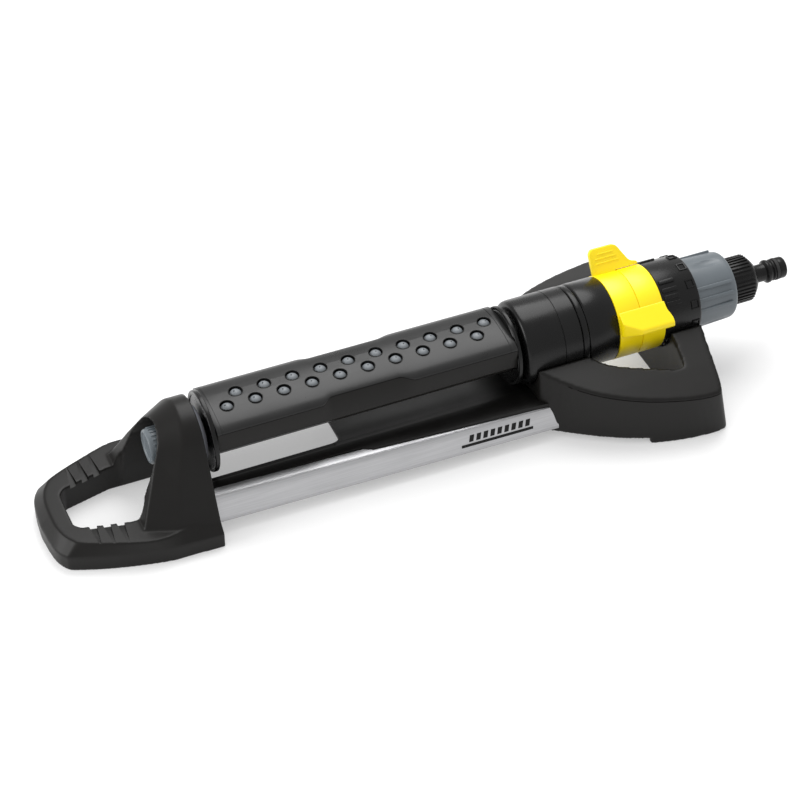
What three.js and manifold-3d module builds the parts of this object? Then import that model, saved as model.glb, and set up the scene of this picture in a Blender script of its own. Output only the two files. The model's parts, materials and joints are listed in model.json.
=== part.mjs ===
// Oscillating lawn sprinkler: a swinging spray tube between two feet, with its water motor at the hose end.
// Millimetres, +X along the tube towards the hose, +Z up. The origin is the bottom centre of the whole part.
// Pieces are drawn round the tube's axis, with X = 0 at the tube's left end, and one group places them all.

import * as THREE from "three";
import { mergeVertices } from "three/addons/utils/BufferGeometryUtils.js";
import Module from "manifold-3d";

const wasm = await Module();
wasm.setup();

// ---------- driving dimensions ----------

const GAP = 0.3; // clearance between pieces that touch
const AXIS_HEIGHT = 58; // tube axis above the ground
const FLOOR = -AXIS_HEIGHT;
const PLASTIC_WALL = 3;

const NOZZLES_PER_ROW = 10;
const NOZZLE_PITCH = 21;
const ROW_OFFSET = 5.7; // each row's distance from the tube's middle plane
const NOZZLE_RADIUS = 4.15;
const NOZZLE_HOLE_RADIUS = 4.75;
const NOZZLE_BORE_RADIUS = 0.8;
const TUBE_END_MARGIN = 14.1; // tube end to the first nozzle

const TUBE_HALF_WIDTH = 26;
const TUBE_TOP = 23;
const TUBE_PARTING = 16.5; // height of the joint between cover and body
const TUBE_BOTTOM = -12;
const TUBE_WALL = 2.2;
const CHANNEL_TOP = 16; // the water channel under the nozzles
const CHANNEL_HALF_WIDTH = 12;
const FLANGE_RADIUS = 29.6;
const FLANGE_THICKNESS = 3;
const BEARING_GAP = 6.5; // between the left flange and the foot

const FOOT_LENGTH = 115;
const FOOT_HALF_WIDTH = 57;
const ARCH_RADIUS = 29;
const ARM_TOP = -36.5;
const BUSH_RADIUS = 12.4;
const SPIGOT_RADIUS = 9;
const SPIGOT_BORE = 6;

const HOUSING_RADIUS = 31.5;
const HOUSING_WALL = 2.6;
const HOUSING_LENGTH = 44;
const LOCK_RING_LENGTH = 5.2;
const RING_COVER_LENGTH = 23.2;
const RANGE_RING_RADIUS = HOUSING_RADIUS + 0.2;
const RANGE_RING_LENGTH = 18.3;
const RANGE_RING_WALL = 3;
const SLEEVE_RADIUS = RANGE_RING_RADIUS - RANGE_RING_WALL - GAP; // the rear case's sleeve carries the rings
const SLEEVE_BORE = SLEEVE_RADIUS - 2.5;
const LEFT_LUG_ANGLE = -135;
const RIGHT_LUG_ANGLE = -45;
const LUG_TRAVEL = 36; // each way, with room for the lug's own width
const COLLAR_RADIUS = HOUSING_RADIUS - GAP;
const COLLAR_LENGTH = 29.7;
const KNOB_RADIUS = 26.5;
const KNOB_LENGTH = 34.5;
const NUT_RADIUS = 17.9;
const NUT_LENGTH = 21;
const NIPPLE_LENGTH = 29;
const INLET_RADIUS = 13.2; // outside of the hose inlet's thread
const INLET_BORE = 9.6;

const WHEEL_TEETH = 24;
const PINION_TEETH = 8;
const GEAR_MODULE = 0.95;
const GEAR_WIDTH = 5;
const GEAR_STEP = 7; // from one gear stage to the next along X
const TURBINE_BLADES = 10;
const SPINDLE_RADIUS = 1.5;
const SHAFT_RADIUS = 7;
const SHAFT_BORE = 4.5;
const SHAFT_RUNNING_GAP = 0.3;

const RAIL_LEFT_Y = 37; // rail centre line at the left foot
const RAIL_RIGHT_Y = 41.5;
const TRAY_BOTTOM = -HOUSING_RADIUS - 6;
const SCREW_Y = 26;
const SCREW_Z = -HOUSING_RADIUS;
const SCREW_RADIUS = 1.6;

const BASE_INNER_Y = 17; // the base's two beams, from the middle plane
const BASE_OUTER_Y = 30.5;
const TRAY_LENGTH = 146;
const BASE_TOP = 4 - HOUSING_RADIUS; // top of the beams and of the rails beside them

const CRADLE_LEFT_GAP = 7; // housing end to the cradle's left point
const CRADLE_HALF_WIDTH = 88.5;
const STEP_LENGTH = 70; // the right foot's shell stays off the ground along this stretch
const STEP_HEIGHT = 5;

// ---------- stations along X, from the tube's left end ----------

const TUBE_LENGTH = 2 * TUBE_END_MARGIN + (NOZZLES_PER_ROW - 0.5) * NOZZLE_PITCH - 1.7;
const footRight = -FLANGE_THICKNESS - BEARING_GAP;
const footLeft = footRight - FOOT_LENGTH;
const flangeRightEnd = TUBE_LENGTH + FLANGE_THICKNESS + GAP;
const housingLeft = flangeRightEnd + 3.5;
const lockRingLeft = housingLeft + HOUSING_LENGTH + GAP;
const ringCoverLeft = lockRingLeft + LOCK_RING_LENGTH + GAP;
const rangeRingLeft = ringCoverLeft + RING_COVER_LENGTH + GAP;
const rangeRingRight = rangeRingLeft + RANGE_RING_LENGTH + GAP;
const collarLeft = rangeRingRight + RANGE_RING_LENGTH + GAP;
const knobLeft = collarLeft + COLLAR_LENGTH + GAP;
const nutLeft = knobLeft + KNOB_LENGTH + 1.2;
const nippleLeft = nutLeft + NUT_LENGTH;
const hoseEnd = nippleLeft + NIPPLE_LENGTH;
const middle = (footLeft + hoseEnd) / 2;

// ---------- materials ----------

function plastic(color, roughness = 0.45) {
  return new THREE.MeshStandardMaterial({ color, roughness, metalness: 0 });
}

function metal(color, roughness = 0.3) {
  return new THREE.MeshStandardMaterial({ color, roughness, metalness: 1 });
}

const BLACK = 0x26272a;
const SATIN_BLACK = 0x303134;
const YELLOW = 0xffe600;
const BLUE_GREY = 0x687079;
const NOZZLE_GREY = 0x9da2a6;
const SILVER = 0xc9cbce;
const STEEL = 0xb9bcc0;
const NATURAL = 0xe6e4da;
const RUBBER = 0x1b1b1c;

// ---------- solids ----------

const root = new THREE.Group();
const pieces = new THREE.Group();
pieces.position.set(-middle, 0, AXIS_HEIGHT);
root.add(pieces);

function solid(geometry) {
  const bare = geometry.index ? geometry.toNonIndexed() : geometry.clone();
  bare.deleteAttribute("normal");
  bare.deleteAttribute("uv");
  const merged = mergeVertices(bare, 1e-4);
  const mesh = new wasm.Mesh({
    numProp: 3,
    vertProperties: merged.attributes.position.array,
    triVerts: new Uint32Array(merged.index.array),
  });
  return new wasm.Manifold(mesh);
}

function geometryOf(shape) {
  const mesh = shape.getMesh();
  const geometry = new THREE.BufferGeometry();
  geometry.setAttribute("position", new THREE.BufferAttribute(mesh.vertProperties, 3));
  geometry.setIndex(new THREE.BufferAttribute(mesh.triVerts, 1));
  return geometry;
}

function joined(first, ...others) {
  return others.reduce((sum, other) => sum.add(other), first);
}

function cut(first, ...others) {
  return others.reduce((rest, other) => rest.subtract(other), first);
}

function piece(name, shape, material) {
  const geometry = shape.isBufferGeometry ? shape : geometryOf(shape);
  const mesh = new THREE.Mesh(geometry, material);
  mesh.name = name;
  pieces.add(mesh);
  return mesh;
}

function signedArea(points) {
  return points.reduce((area, [a, b], i) => {
    const [c, d] = points[(i + 1) % points.length];
    return area + (a * d - b * c) / 2;
  }, 0);
}

// A body turned about the X axis from a closed profile of [x, radius] points.
function turned(profile, segments = 32) {
  const points = signedArea(profile) < 0 ? [...profile] : [...profile].reverse();
  const start = points.findIndex(([, r], i) => r === 0 && points.at(i - 1)[1] === 0);
  const ordered = start > 0 ? [...points.slice(start), ...points.slice(0, start)] : points;
  if (start < 0) ordered.push(ordered[0]);
  const lathe = new THREE.LatheGeometry(ordered.map(([x, r]) => new THREE.Vector2(r, x)), segments);
  return solid(lathe.rotateZ(-Math.PI / 2));
}

function tube(x0, x1, outer, inner, segments = 32) {
  return turned([[x0, inner], [x1, inner], [x1, outer], [x0, outer]], segments);
}

function rod(x0, x1, radius, segments = 32) {
  return turned([[x0, 0], [x1, 0], [x1, radius], [x0, radius]], segments);
}

function box(x0, x1, y0, y1, z0, z1) {
  const shape = new THREE.BoxGeometry(x1 - x0, y1 - y0, z1 - z0);
  return solid(shape.translate((x0 + x1) / 2, (y0 + y1) / 2, (z0 + z1) / 2));
}

function shapeOf(points) {
  return new THREE.Shape(points.map(([a, b]) => new THREE.Vector2(a, b)));
}

function prism(shape, depth) {
  return new THREE.ExtrudeGeometry(shape, { depth, bevelEnabled: false, curveSegments: 12 });
}

// Outlines of [y, z] points carried along X, of [x, z] points along Y, and of [x, y] points up Z.
function alongX(points, x0, x1) {
  const turn = new THREE.Matrix4().makeBasis(
    new THREE.Vector3(0, 1, 0), new THREE.Vector3(0, 0, 1), new THREE.Vector3(1, 0, 0));
  return solid(prism(shapeOf(points), x1 - x0).applyMatrix4(turn).translate(x0, 0, 0));
}

function alongY(points, y0, y1) {
  return solid(prism(shapeOf(points), y1 - y0).rotateX(Math.PI / 2).translate(0, y1, 0));
}

function alongZ(points, z0, z1) {
  return solid(prism(shapeOf(points), z1 - z0).translate(0, 0, z0));
}

function mirroredPoints(half) {
  const other = half.filter(([a]) => a > 1e-6).map(([a, b]) => [-a, b]).reverse();
  return [...half, ...other];
}

// A skin through rings of Vector3 with equal counts, closed by a cap at each end.
function loft(given) {
  const clockwise = THREE.ShapeUtils.area(flatten(given[0])) < 0;
  const rings = clockwise ? given.map((ring) => [...ring].reverse()) : given;
  const count = rings[0].length;
  const vertices = rings.flat().flatMap((p) => [p.x, p.y, p.z]);
  const faces = [];
  for (let r = 0; r + 1 < rings.length; r += 1) {
    for (let i = 0; i < count; i += 1) {
      const a = r * count + i;
      const b = r * count + ((i + 1) % count);
      faces.push(a, b, b + count, a, b + count, a + count);
    }
  }
  const cap = THREE.ShapeUtils.triangulateShape(flatten(rings[0]), []);
  const last = (rings.length - 1) * count;
  cap.forEach(([a, b, c]) => faces.push(a, c, b, last + a, last + b, last + c));
  const geometry = new THREE.BufferGeometry();
  geometry.setAttribute("position", new THREE.Float32BufferAttribute(vertices, 3));
  geometry.setIndex(faces);
  return solid(geometry);
}

// A ring's points in its own plane, for the caps.
function flatten(ring) {
  const spanX = Math.max(...ring.map((p) => p.x)) - Math.min(...ring.map((p) => p.x));
  const upright = spanX < 60;
  return ring.map((p) => new THREE.Vector2(upright ? p.y : p.x, upright ? p.z : p.y));
}

function ringAtX(points, x, lean = 0) {
  return points.map(([y, z]) => new THREE.Vector3(x + lean * z, y, z));
}

function ringAtZ(points, z) {
  return points.map(([x, y]) => new THREE.Vector3(x, y, z));
}

function arcPoints(radius, from, to, steps) {
  return Array.from({ length: steps + 1 }, (_, i) => {
    const angle = THREE.MathUtils.degToRad(from + ((to - from) * i) / steps);
    return [radius * Math.cos(angle), radius * Math.sin(angle)];
  });
}

// ---------- left foot ----------

// Half of the foot's outline in Y and Z, from the ground up to the top of the arch.
function archOutline(inset, radius) {
  return [
    [FOOT_HALF_WIDTH - inset, FLOOR],
    [FOOT_HALF_WIDTH - 1.2 - inset, FLOOR + 8],
    [46.5 - inset, FLOOR + 27],
    [37 - inset, -10],
    ...arcPoints(radius, 0, 90, 8),
  ];
}

// Half plans of the foot in X and Y: at the ground, at the top of the arms, and the hand loop.
const armPlan = [
  [footLeft, 0], [footLeft + 1, 14], [footLeft + 3, 26], [footLeft + 7, 34], [footLeft + 13, 38.5],
  [footLeft + 40.5, 48], [footLeft + 73.5, 55.5], [footLeft + 93.5, 56.5], [footRight, FOOT_HALF_WIDTH],
];
const armTopPlan = [
  [footLeft + 7.5, 0], [footLeft + 8, 13], [footLeft + 10.5, 23], [footLeft + 14.5, 30],
  [footLeft + 20, 35.5], [footLeft + 40.5, 44.5], [footLeft + 68, 53.5],
  [footLeft + 93.5, 50], [footRight, 47],
];
const loopPlan = [
  [footLeft + 19.5, 0], [footLeft + 20, 16], [footLeft + 24, 20.5], [footLeft + 58, 28.5],
  [footLeft + 66, 28.5], [footLeft + 69, 26],
];

function leftFoot() {
  const lean = 0.3;
  const bandFront = footRight - 24;
  const arch = loft([
    ringAtX(mirroredPoints(archOutline(4.5, ARCH_RADIUS - 4.4)), bandFront - 10, lean + 0.05),
    ringAtX(mirroredPoints(archOutline(0, ARCH_RADIUS)), bandFront, lean),
    ringAtX(mirroredPoints(archOutline(0, ARCH_RADIUS)), footRight),
  ]);
  const plan = closedPlan(armPlan);
  const arms = loft([
    ringAtZ(plan, FLOOR), ringAtZ(plan, ARM_TOP - 10), ringAtZ(closedPlan(armTopPlan), ARM_TOP),
  ]);
  const shell = joined(arch.intersect(alongZ(plan, FLOOR, ARCH_RADIUS + 1)), arms);
  const loop = alongZ(closedPlan(loopPlan), FLOOR - 1, 0);
  const tunnelHalf = [[28.5, FLOOR - 1], [25.5, ARM_TOP], [22, -4], ...arcPoints(20, 10, 90, 6)];
  const tunnel = alongX(mirroredPoints(tunnelHalf), footLeft + 60, footRight - 20);
  const inside = archOutline(4, ARCH_RADIUS - 4).map(([y, z]) => [y, z - 2]);
  const cavity = cut(
    alongX(mirroredPoints(inside), footRight - 17, footRight - PLASTIC_WALL),
    rod(footRight - 20, footRight, BUSH_RADIUS + 4, 24));
  const bore = rod(footRight - 30, footRight + 1, BUSH_RADIUS + GAP, 24);
  return cut(shell, loop, tunnel, cavity, bore, ...gripGrooves(), ...leftScrewHoles());
}

function closedPlan(half) {
  const other = half.filter(([, y]) => y > 1e-6).map(([x, y]) => [x, -y]);
  return [...other.reverse(), ...half];
}

// Three grip grooves across the top of each arm.
function gripGrooves() {
  const grooves = [];
  for (let i = 0; i < 3; i += 1) {
    const x = footLeft + 30 + 9.2 * i;
    for (const side of [-1, 1]) {
      const near = Math.min(side * 23, side * (40 + 2.5 * i));
      grooves.push(box(x, x + 3, near, near + 17 + 2.5 * i, ARM_TOP - 1.2, ARM_TOP + 1));
    }
  }
  return grooves;
}

function leftScrewHoles() {
  return [-1, 1].map((side) => screwAt(footRight, side, SCREW_RADIUS + GAP));
}

function screwAt(x, side, radius) {
  return rod(x - 8, x + 8, radius, 10).translate(0, side * SCREW_Y, SCREW_Z);
}

piece("left_foot", leftFoot(), plastic(SATIN_BLACK));

const endBush = tube(footRight - 20.5, footRight + 0.2, BUSH_RADIUS, SPIGOT_RADIUS + SHAFT_RUNNING_GAP, 24);
piece("end_bush", endBush, plastic(NATURAL, 0.4));
piece("thrust_ring", tube(footRight + 0.5, footRight + 4, 22, SPIGOT_RADIUS + 0.5, 32),
  plastic(BLUE_GREY));

function endPlug() {
  const head = turned([
    [footRight - 34.5, 0], [footRight - 23, 0], [footRight - 23, 13], [footRight - 32.5, 13],
    [footRight - 34.5, 11.5],
  ], 24);
  return joined(head, rod(footRight - 24, footRight - 2, SPIGOT_BORE - GAP, 16));
}

piece("end_plug", endPlug(), plastic(BLUE_GREY));

// ---------- spray tube ----------

function leftFlange() {
  const disc = rod(-FLANGE_THICKNESS - GAP, -GAP, FLANGE_RADIUS, 36);
  const spigot = rod(footRight - 21.5, -FLANGE_THICKNESS, SPIGOT_RADIUS, 20);
  return cut(joined(disc, spigot), rod(footRight - 30, -4, SPIGOT_BORE, 16));
}

piece("left_flange", leftFlange(), plastic(SATIN_BLACK));

// Half outline of the cover's outside in Y and Z, from the joint with the body up to the crest.
const coverOutside = [
  [TUBE_HALF_WIDTH, TUBE_PARTING], [TUBE_HALF_WIDTH - 1.4, TUBE_PARTING + 1.8],
  [TUBE_HALF_WIDTH - 6, TUBE_TOP - 2.4], [TUBE_HALF_WIDTH - 17.5, TUBE_TOP - 0.3], [0, TUBE_TOP],
];
const coverInside = coverOutside.map(([y, z]) => {
  const wall = y > TUBE_HALF_WIDTH - 6.5 ? TUBE_WALL : 0;
  return [y - wall, z - TUBE_WALL];
});

// The cover's lower edge climbs on to the crest along the middle of each side.
const raisedEdge = [
  [76.5, TUBE_PARTING - 1], [76.5, TUBE_PARTING], [85, TUBE_PARTING + 2.9],
  [136, TUBE_PARTING + 2.9], [148, TUBE_PARTING], [148, TUBE_PARTING - 1],
];

function nozzlePlaces() {
  const places = [];
  for (let i = 0; i < NOZZLES_PER_ROW; i += 1) {
    places.push({ name: `nozzle_front_${i + 1}`, x: TUBE_END_MARGIN + i * NOZZLE_PITCH, y: -ROW_OFFSET });
    places.push({
      name: `nozzle_rear_${i + 1}`, x: TUBE_END_MARGIN + (i + 0.5) * NOZZLE_PITCH, y: ROW_OFFSET,
    });
  }
  return places;
}

function upright(radius, z0, z1, x, y, segments) {
  return solid(new THREE.CylinderGeometry(radius, radius, z1 - z0, segments)
    .rotateX(Math.PI / 2).translate(x, y, (z0 + z1) / 2));
}

function tubeCover() {
  const outside = alongX(mirroredPoints(coverOutside), 0, TUBE_LENGTH);
  const inside = alongX(mirroredPoints(coverInside), -1, TUBE_LENGTH + 1);
  const below = box(-1, TUBE_LENGTH + 1, -40, 40, TUBE_PARTING - 9, TUBE_PARTING);
  const sides = [-1, 1].map((side) => {
    const near = Math.min(side * (TUBE_HALF_WIDTH - 4.6), side * (TUBE_HALF_WIDTH + 4));
    return alongY(raisedEdge, near, near + 8.6);
  });
  const holes = nozzlePlaces().map(({ x, y }) =>
    upright(NOZZLE_HOLE_RADIUS, TUBE_PARTING, TUBE_TOP + 2, x, y, 10));
  return cut(outside, inside, below, ...sides, ...holes);
}

piece("tube_cover", tubeCover(), plastic(SATIN_BLACK));

function tubeBody() {
  const edge = TUBE_PARTING - GAP;
  const outside = [[TUBE_HALF_WIDTH, edge], [TUBE_HALF_WIDTH, 1.2], [17, -9], [10, TUBE_BOTTOM]];
  const inside = [
    [TUBE_HALF_WIDTH - 2.5, edge + 1], [TUBE_HALF_WIDTH - 2.5, 2.4], [15.8, -6.6], [9.4, TUBE_BOTTOM + 2.5],
  ];
  const trough = cut(
    alongX(mirroredPoints([...outside].reverse()).reverse(), 0, TUBE_LENGTH),
    alongX(mirroredPoints([...inside].reverse()).reverse(), -1, TUBE_LENGTH + 1));
  const raised = raisedEdge.map(([x, z], i) => [x + (i < 3 ? 0.5 : -0.5), z - (i % 5 ? GAP : 0)]);
  const sides = [-1, 1].map((side) => {
    const near = Math.min(side * (TUBE_HALF_WIDTH - 2.5), side * (TUBE_HALF_WIDTH - 0.8));
    return alongY(raised, near, near + 1.7);
  });
  const under = alongX(mirroredPoints(coverOutside.map(([y, z]) => [y, z - 0.4])), 0, TUBE_LENGTH);
  return joined(trough, joined(...sides).intersect(joined(under, box(0, TUBE_LENGTH, -40, 40, 10, 16.2))));
}

piece("tube_body", tubeBody(), plastic(BLACK));

function waterChannel() {
  const outside = box(GAP, TUBE_LENGTH - GAP, -CHANNEL_HALF_WIDTH, CHANNEL_HALF_WIDTH, -6, CHANNEL_TOP);
  const bore = CHANNEL_HALF_WIDTH - 2;
  const inside = box(3, TUBE_LENGTH + 1, -bore, bore, -4, CHANNEL_TOP - 2);
  const holes = nozzlePlaces().map(({ x, y }) => upright(1.5, CHANNEL_TOP - 3, CHANNEL_TOP + 1, x, y, 6));
  return cut(outside, inside, ...holes);
}

piece("water_channel", waterChannel(), plastic(BLACK));

// A soft nozzle: a domed head through the cover, and a broad foot held between cover and channel.
function nozzle() {
  const foot = CHANNEL_TOP + GAP;
  const profile = [
    [foot, NOZZLE_BORE_RADIUS], [TUBE_TOP + 0.35, NOZZLE_BORE_RADIUS], [TUBE_TOP - 0.1, 2.6],
    [TUBE_TOP - 1.1, NOZZLE_RADIUS], [foot + 2.4, NOZZLE_RADIUS], [foot + 2.4, 5.4], [foot, 5.4],
  ];
  return turned(profile, 8).rotate([0, -90, 0]);
}

for (const { name, x, y } of nozzlePlaces()) {
  const head = piece(name, nozzle(), plastic(NOZZLE_GREY, 0.55));
  head.position.set(x, y, 0);
}

// ---------- drive shaft and gears ----------

const gearX = (stage) => housingLeft + 10 + GEAR_STEP * stage;
const LAY_OFFSET = (GEAR_MODULE * (WHEEL_TEETH + PINION_TEETH)) / 2;

function driveShaft() {
  const disc = rod(TUBE_LENGTH + GAP, flangeRightEnd, FLANGE_RADIUS, 36);
  const shaft = rod(flangeRightEnd - 1, gearX(0) - GAP, SHAFT_RADIUS, 20);
  const bore = rod(TUBE_LENGTH, gearX(0) - 2, SHAFT_BORE, 16);
  const inletHole = upright(2.2, -10, 10, housingLeft + 6.5, 0, 8);
  return cut(joined(disc, shaft), bore, inletHole);
}

piece("drive_shaft", driveShaft(), plastic(SATIN_BLACK));

// Outline of a gear with straight-sided teeth, thin enough to leave backlash.
function gearShape(teeth, turn, bore) {
  const pitch = (GEAR_MODULE * teeth) / 2;
  const slender = teeth > 12 ? 1 : 0.92;
  const corners = [[-0.3, -1.05], [-0.17, 0.72], [0.17, 0.72], [0.3, -1.05]];
  const points = [];
  for (let i = 0; i < teeth; i += 1) {
    for (const [across, out] of corners) {
      const angle = ((i + across * slender) * 2 * Math.PI) / teeth + turn;
      const radius = pitch + out * GEAR_MODULE;
      points.push([radius * Math.cos(angle), radius * Math.sin(angle)]);
    }
  }
  const shape = shapeOf(points);
  if (bore > 0) shape.holes.push(new THREE.Path().absarc(0, 0, bore, 0, 2 * Math.PI, true));
  return shape;
}

function gear(teeth, turn, bore, x0, x1) {
  const place = new THREE.Matrix4().makeBasis(
    new THREE.Vector3(0, 1, 0), new THREE.Vector3(0, 0, 1), new THREE.Vector3(1, 0, 0));
  const geometry = new THREE.ExtrudeGeometry(gearShape(teeth, turn, bore), {
    depth: x1 - x0, bevelEnabled: false, curveSegments: 5,
  });
  return solid(geometry.applyMatrix4(place).translate(x0, 0, 0));
}

// A wheel and a pinion moulded together; the pinion's gap faces the neighbouring spindle.
function cluster(stage) {
  const bore = SPINDLE_RADIUS + SHAFT_RUNNING_GAP;
  const wheel = gear(WHEEL_TEETH, 0, bore, gearX(stage), gearX(stage) + GEAR_WIDTH);
  const pinion = gear(PINION_TEETH, Math.PI / PINION_TEETH, bore, gearX(stage - 1), gearX(stage) + 1);
  return joined(wheel, pinion);
}

const blind = rod(gearX(0) + 1.5, gearX(0) + GEAR_WIDTH + 1, SPINDLE_RADIUS + SHAFT_RUNNING_GAP, 12);
piece("output_gear", cut(gear(WHEEL_TEETH, 0, 0, gearX(0), gearX(0) + GEAR_WIDTH), blind), plastic(NATURAL));
piece("cluster_gear_1", cluster(1), plastic(NATURAL)).position.y = LAY_OFFSET;
piece("cluster_gear_2", cluster(2), plastic(NATURAL));
piece("cluster_gear_3", cluster(3), plastic(NATURAL)).position.y = LAY_OFFSET;

const gearPlateLeft = gearX(3) + GEAR_WIDTH + 1;
const gearPlateRight = gearPlateLeft + 2;
const turbineLeft = gearPlateRight + 1.5;

function turbineWheel() {
  const bore = SPINDLE_RADIUS + SHAFT_RUNNING_GAP;
  const pinion = gear(PINION_TEETH, Math.PI / PINION_TEETH, bore, gearX(3), turbineLeft + 1);
  const hub = tube(turbineLeft, turbineLeft + 8, 7, bore, 20);
  const blades = [];
  for (let i = 0; i < TURBINE_BLADES; i += 1) {
    const blade = box(turbineLeft + 0.5, turbineLeft + 7.5, 6, 19, -0.8, 0.8);
    blades.push(blade.rotate([(360 * i) / TURBINE_BLADES, 0, 0]));
  }
  return joined(hub, pinion, ...blades);
}

piece("turbine_wheel", turbineWheel(), plastic(NATURAL));

const plateLeft = turbineLeft + 10;
const plateRight = plateLeft + 3;
piece("main_spindle", rod(gearX(0) + 2, plateRight + 12, SPINDLE_RADIUS, 12), metal(STEEL));
piece("lay_spindle", rod(housingLeft + 4, gearPlateRight + 0.5, SPINDLE_RADIUS, 12), metal(STEEL))
  .position.y = LAY_OFFSET;

// ---------- motor housing ----------

const housingBore = HOUSING_RADIUS - HOUSING_WALL;
const sleeveRight = collarLeft + COLLAR_LENGTH - 3;

function motorHousing() {
  const shell = turned([
    [housingLeft, SHAFT_RADIUS + SHAFT_RUNNING_GAP], [housingLeft + 3, SHAFT_RADIUS + SHAFT_RUNNING_GAP],
    [housingLeft + 3, housingBore], [housingLeft + HOUSING_LENGTH, housingBore],
    [housingLeft + HOUSING_LENGTH, HOUSING_RADIUS], [housingLeft + 4.5, HOUSING_RADIUS],
    [housingLeft + 1.2, HOUSING_RADIUS - 1.6], [housingLeft, HOUSING_RADIUS - 4.5],
  ], 36);
  const boss = rod(housingLeft + 2, housingLeft + 8, 3.5, 12);
  const hole = rod(housingLeft + 3.6, housingLeft + 9, SPINDLE_RADIUS + 0.1, 12);
  const spindleBoss = cut(boss, hole).translate(0, LAY_OFFSET, 0);
  return joined(shell, spindleBoss);
}

piece("motor_housing", motorHousing(), plastic(BLACK, 0.35));
piece("shaft_seal", tube(housingLeft + 3.3, housingLeft + 5, SHAFT_RADIUS + 2, SHAFT_RADIUS + 0.25, 20),
  plastic(RUBBER, 0.8));
piece("lock_ring",
  tube(lockRingLeft, lockRingLeft + LOCK_RING_LENGTH, HOUSING_RADIUS - GAP, HOUSING_RADIUS - 2.5, 36),
  plastic(BLACK, 0.35));

// The plate between gears and turbine carries the lay spindle and lets the turbine's pinion through.
function gearPlate() {
  const disc = rod(gearPlateLeft, gearPlateRight, housingBore - GAP, 36);
  const pinionHole = rod(gearPlateLeft - 1, gearPlateRight + 1, 5.4, 16);
  const spindleHole = rod(gearPlateLeft - 1, gearPlateRight + 1, SPINDLE_RADIUS + 0.1, 12);
  const waterHole = rod(gearPlateLeft - 1, gearPlateRight + 1, 5, 12).translate(0, -18, 0);
  return cut(disc, pinionHole, spindleHole.translate(0, LAY_OFFSET, 0), waterHole);
}

piece("gear_plate", gearPlate(), plastic(NATURAL));

function jetPlate() {
  const jets = [-1, 1].map((side) => rod(plateLeft - 1, plateRight + 1, 2.4, 10).translate(0, 0, side * 13));
  const disc = rod(plateLeft, plateRight, SLEEVE_BORE - GAP, 36);
  const hole = rod(plateLeft - 1, plateRight + 1, SPINDLE_RADIUS + 0.1, 12);
  return cut(disc, ...jets, hole);
}

piece("jet_plate", jetPlate(), plastic(NATURAL));

function sector(x0, x1, inner, outer, from, to) {
  const steps = Math.ceil((to - from) / 12);
  const back = arcPoints(inner, from, to, steps).reverse();
  return alongX([...arcPoints(outer, from, to, steps), ...back], x0, x1);
}

// The motor's rear case: the band left of the yellow rings, and the sleeve that carries rings and collar.
function rearCase() {
  const shell = turned([
    [ringCoverLeft, SLEEVE_BORE], [sleeveRight, SLEEVE_BORE], [sleeveRight, SLEEVE_RADIUS],
    [rangeRingLeft - GAP, SLEEVE_RADIUS], [rangeRingLeft - GAP, HOUSING_RADIUS],
    [ringCoverLeft, HOUSING_RADIUS],
  ], 36);
  const reach = LUG_TRAVEL + 6;
  const slots = [[rangeRingLeft, LEFT_LUG_ANGLE], [rangeRingRight, RIGHT_LUG_ANGLE]].map(([x, angle]) =>
    sector(x + 5, x + 13, SLEEVE_BORE - 1.9, SLEEVE_RADIUS + 1.6, angle - reach, angle + reach));
  return cut(shell, ...slots);
}

piece("rear_case", rearCase(), plastic(BLACK, 0.35));

function diverterLever() {
  const bore = SPINDLE_RADIUS + SHAFT_RUNNING_GAP;
  const left = plateRight + 2;
  const hub = tube(left, left + 5, 5, bore, 16);
  const fingerTop = 7.4 - SLEEVE_BORE;
  const arm = box(left, left + 5, -2, 2, fingerTop - 1, -4);
  const finger = box(left, rangeRingRight + 14, -1.2, 1.2, fingerTop - 3.5, fingerTop);
  return joined(hub, arm, finger);
}

piece("diverter_lever", diverterLever(), plastic(NATURAL));

// ---------- range rings ----------

function rangeRing(x0, lugAngle) {
  const ring = tube(x0, x0 + RANGE_RING_LENGTH, RANGE_RING_RADIUS, RANGE_RING_RADIUS - RANGE_RING_WALL, 36);
  const lug = box(x0 + 6, x0 + 12, -1.5, 1.5, SLEEVE_BORE - 6.9, SLEEVE_RADIUS + 1.1)
    .rotate([lugAngle - 90, 0, 0]);
  return joined(ring, lug);
}

const tabsLeft = rangeRingLeft + 0.3;
const tabsRight = rangeRingRight + RANGE_RING_LENGTH;
const TAB_CLEARANCE = RANGE_RING_RADIUS + 0.6;

// The rear tab stands out from the left ring and reaches over the right one.
function leftRangeRing() {
  const r = RANGE_RING_RADIUS;
  const outline = [
    [tabsLeft, r - 1.2], [tabsRight, r - 1.2], [tabsRight, r + 2.7], [tabsRight - 6, r + 4.3],
    [tabsRight - 13.5, r + 17.8], [tabsRight - 16, r + 19.3], [tabsLeft + 2.5, r + 19.3],
    [tabsLeft, r + 16.3],
  ];
  const tab = alongY(outline, -1.8, 1.8).rotate([-34, 0, 0]);
  const over = rod(rangeRingRight - GAP, tabsRight + 5, TAB_CLEARANCE, 36);
  const inside = rod(tabsLeft - 1, tabsRight + 1, RANGE_RING_RADIUS - 1, 36);
  return joined(rangeRing(rangeRingLeft, LEFT_LUG_ANGLE), cut(tab, over, inside));
}

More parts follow.
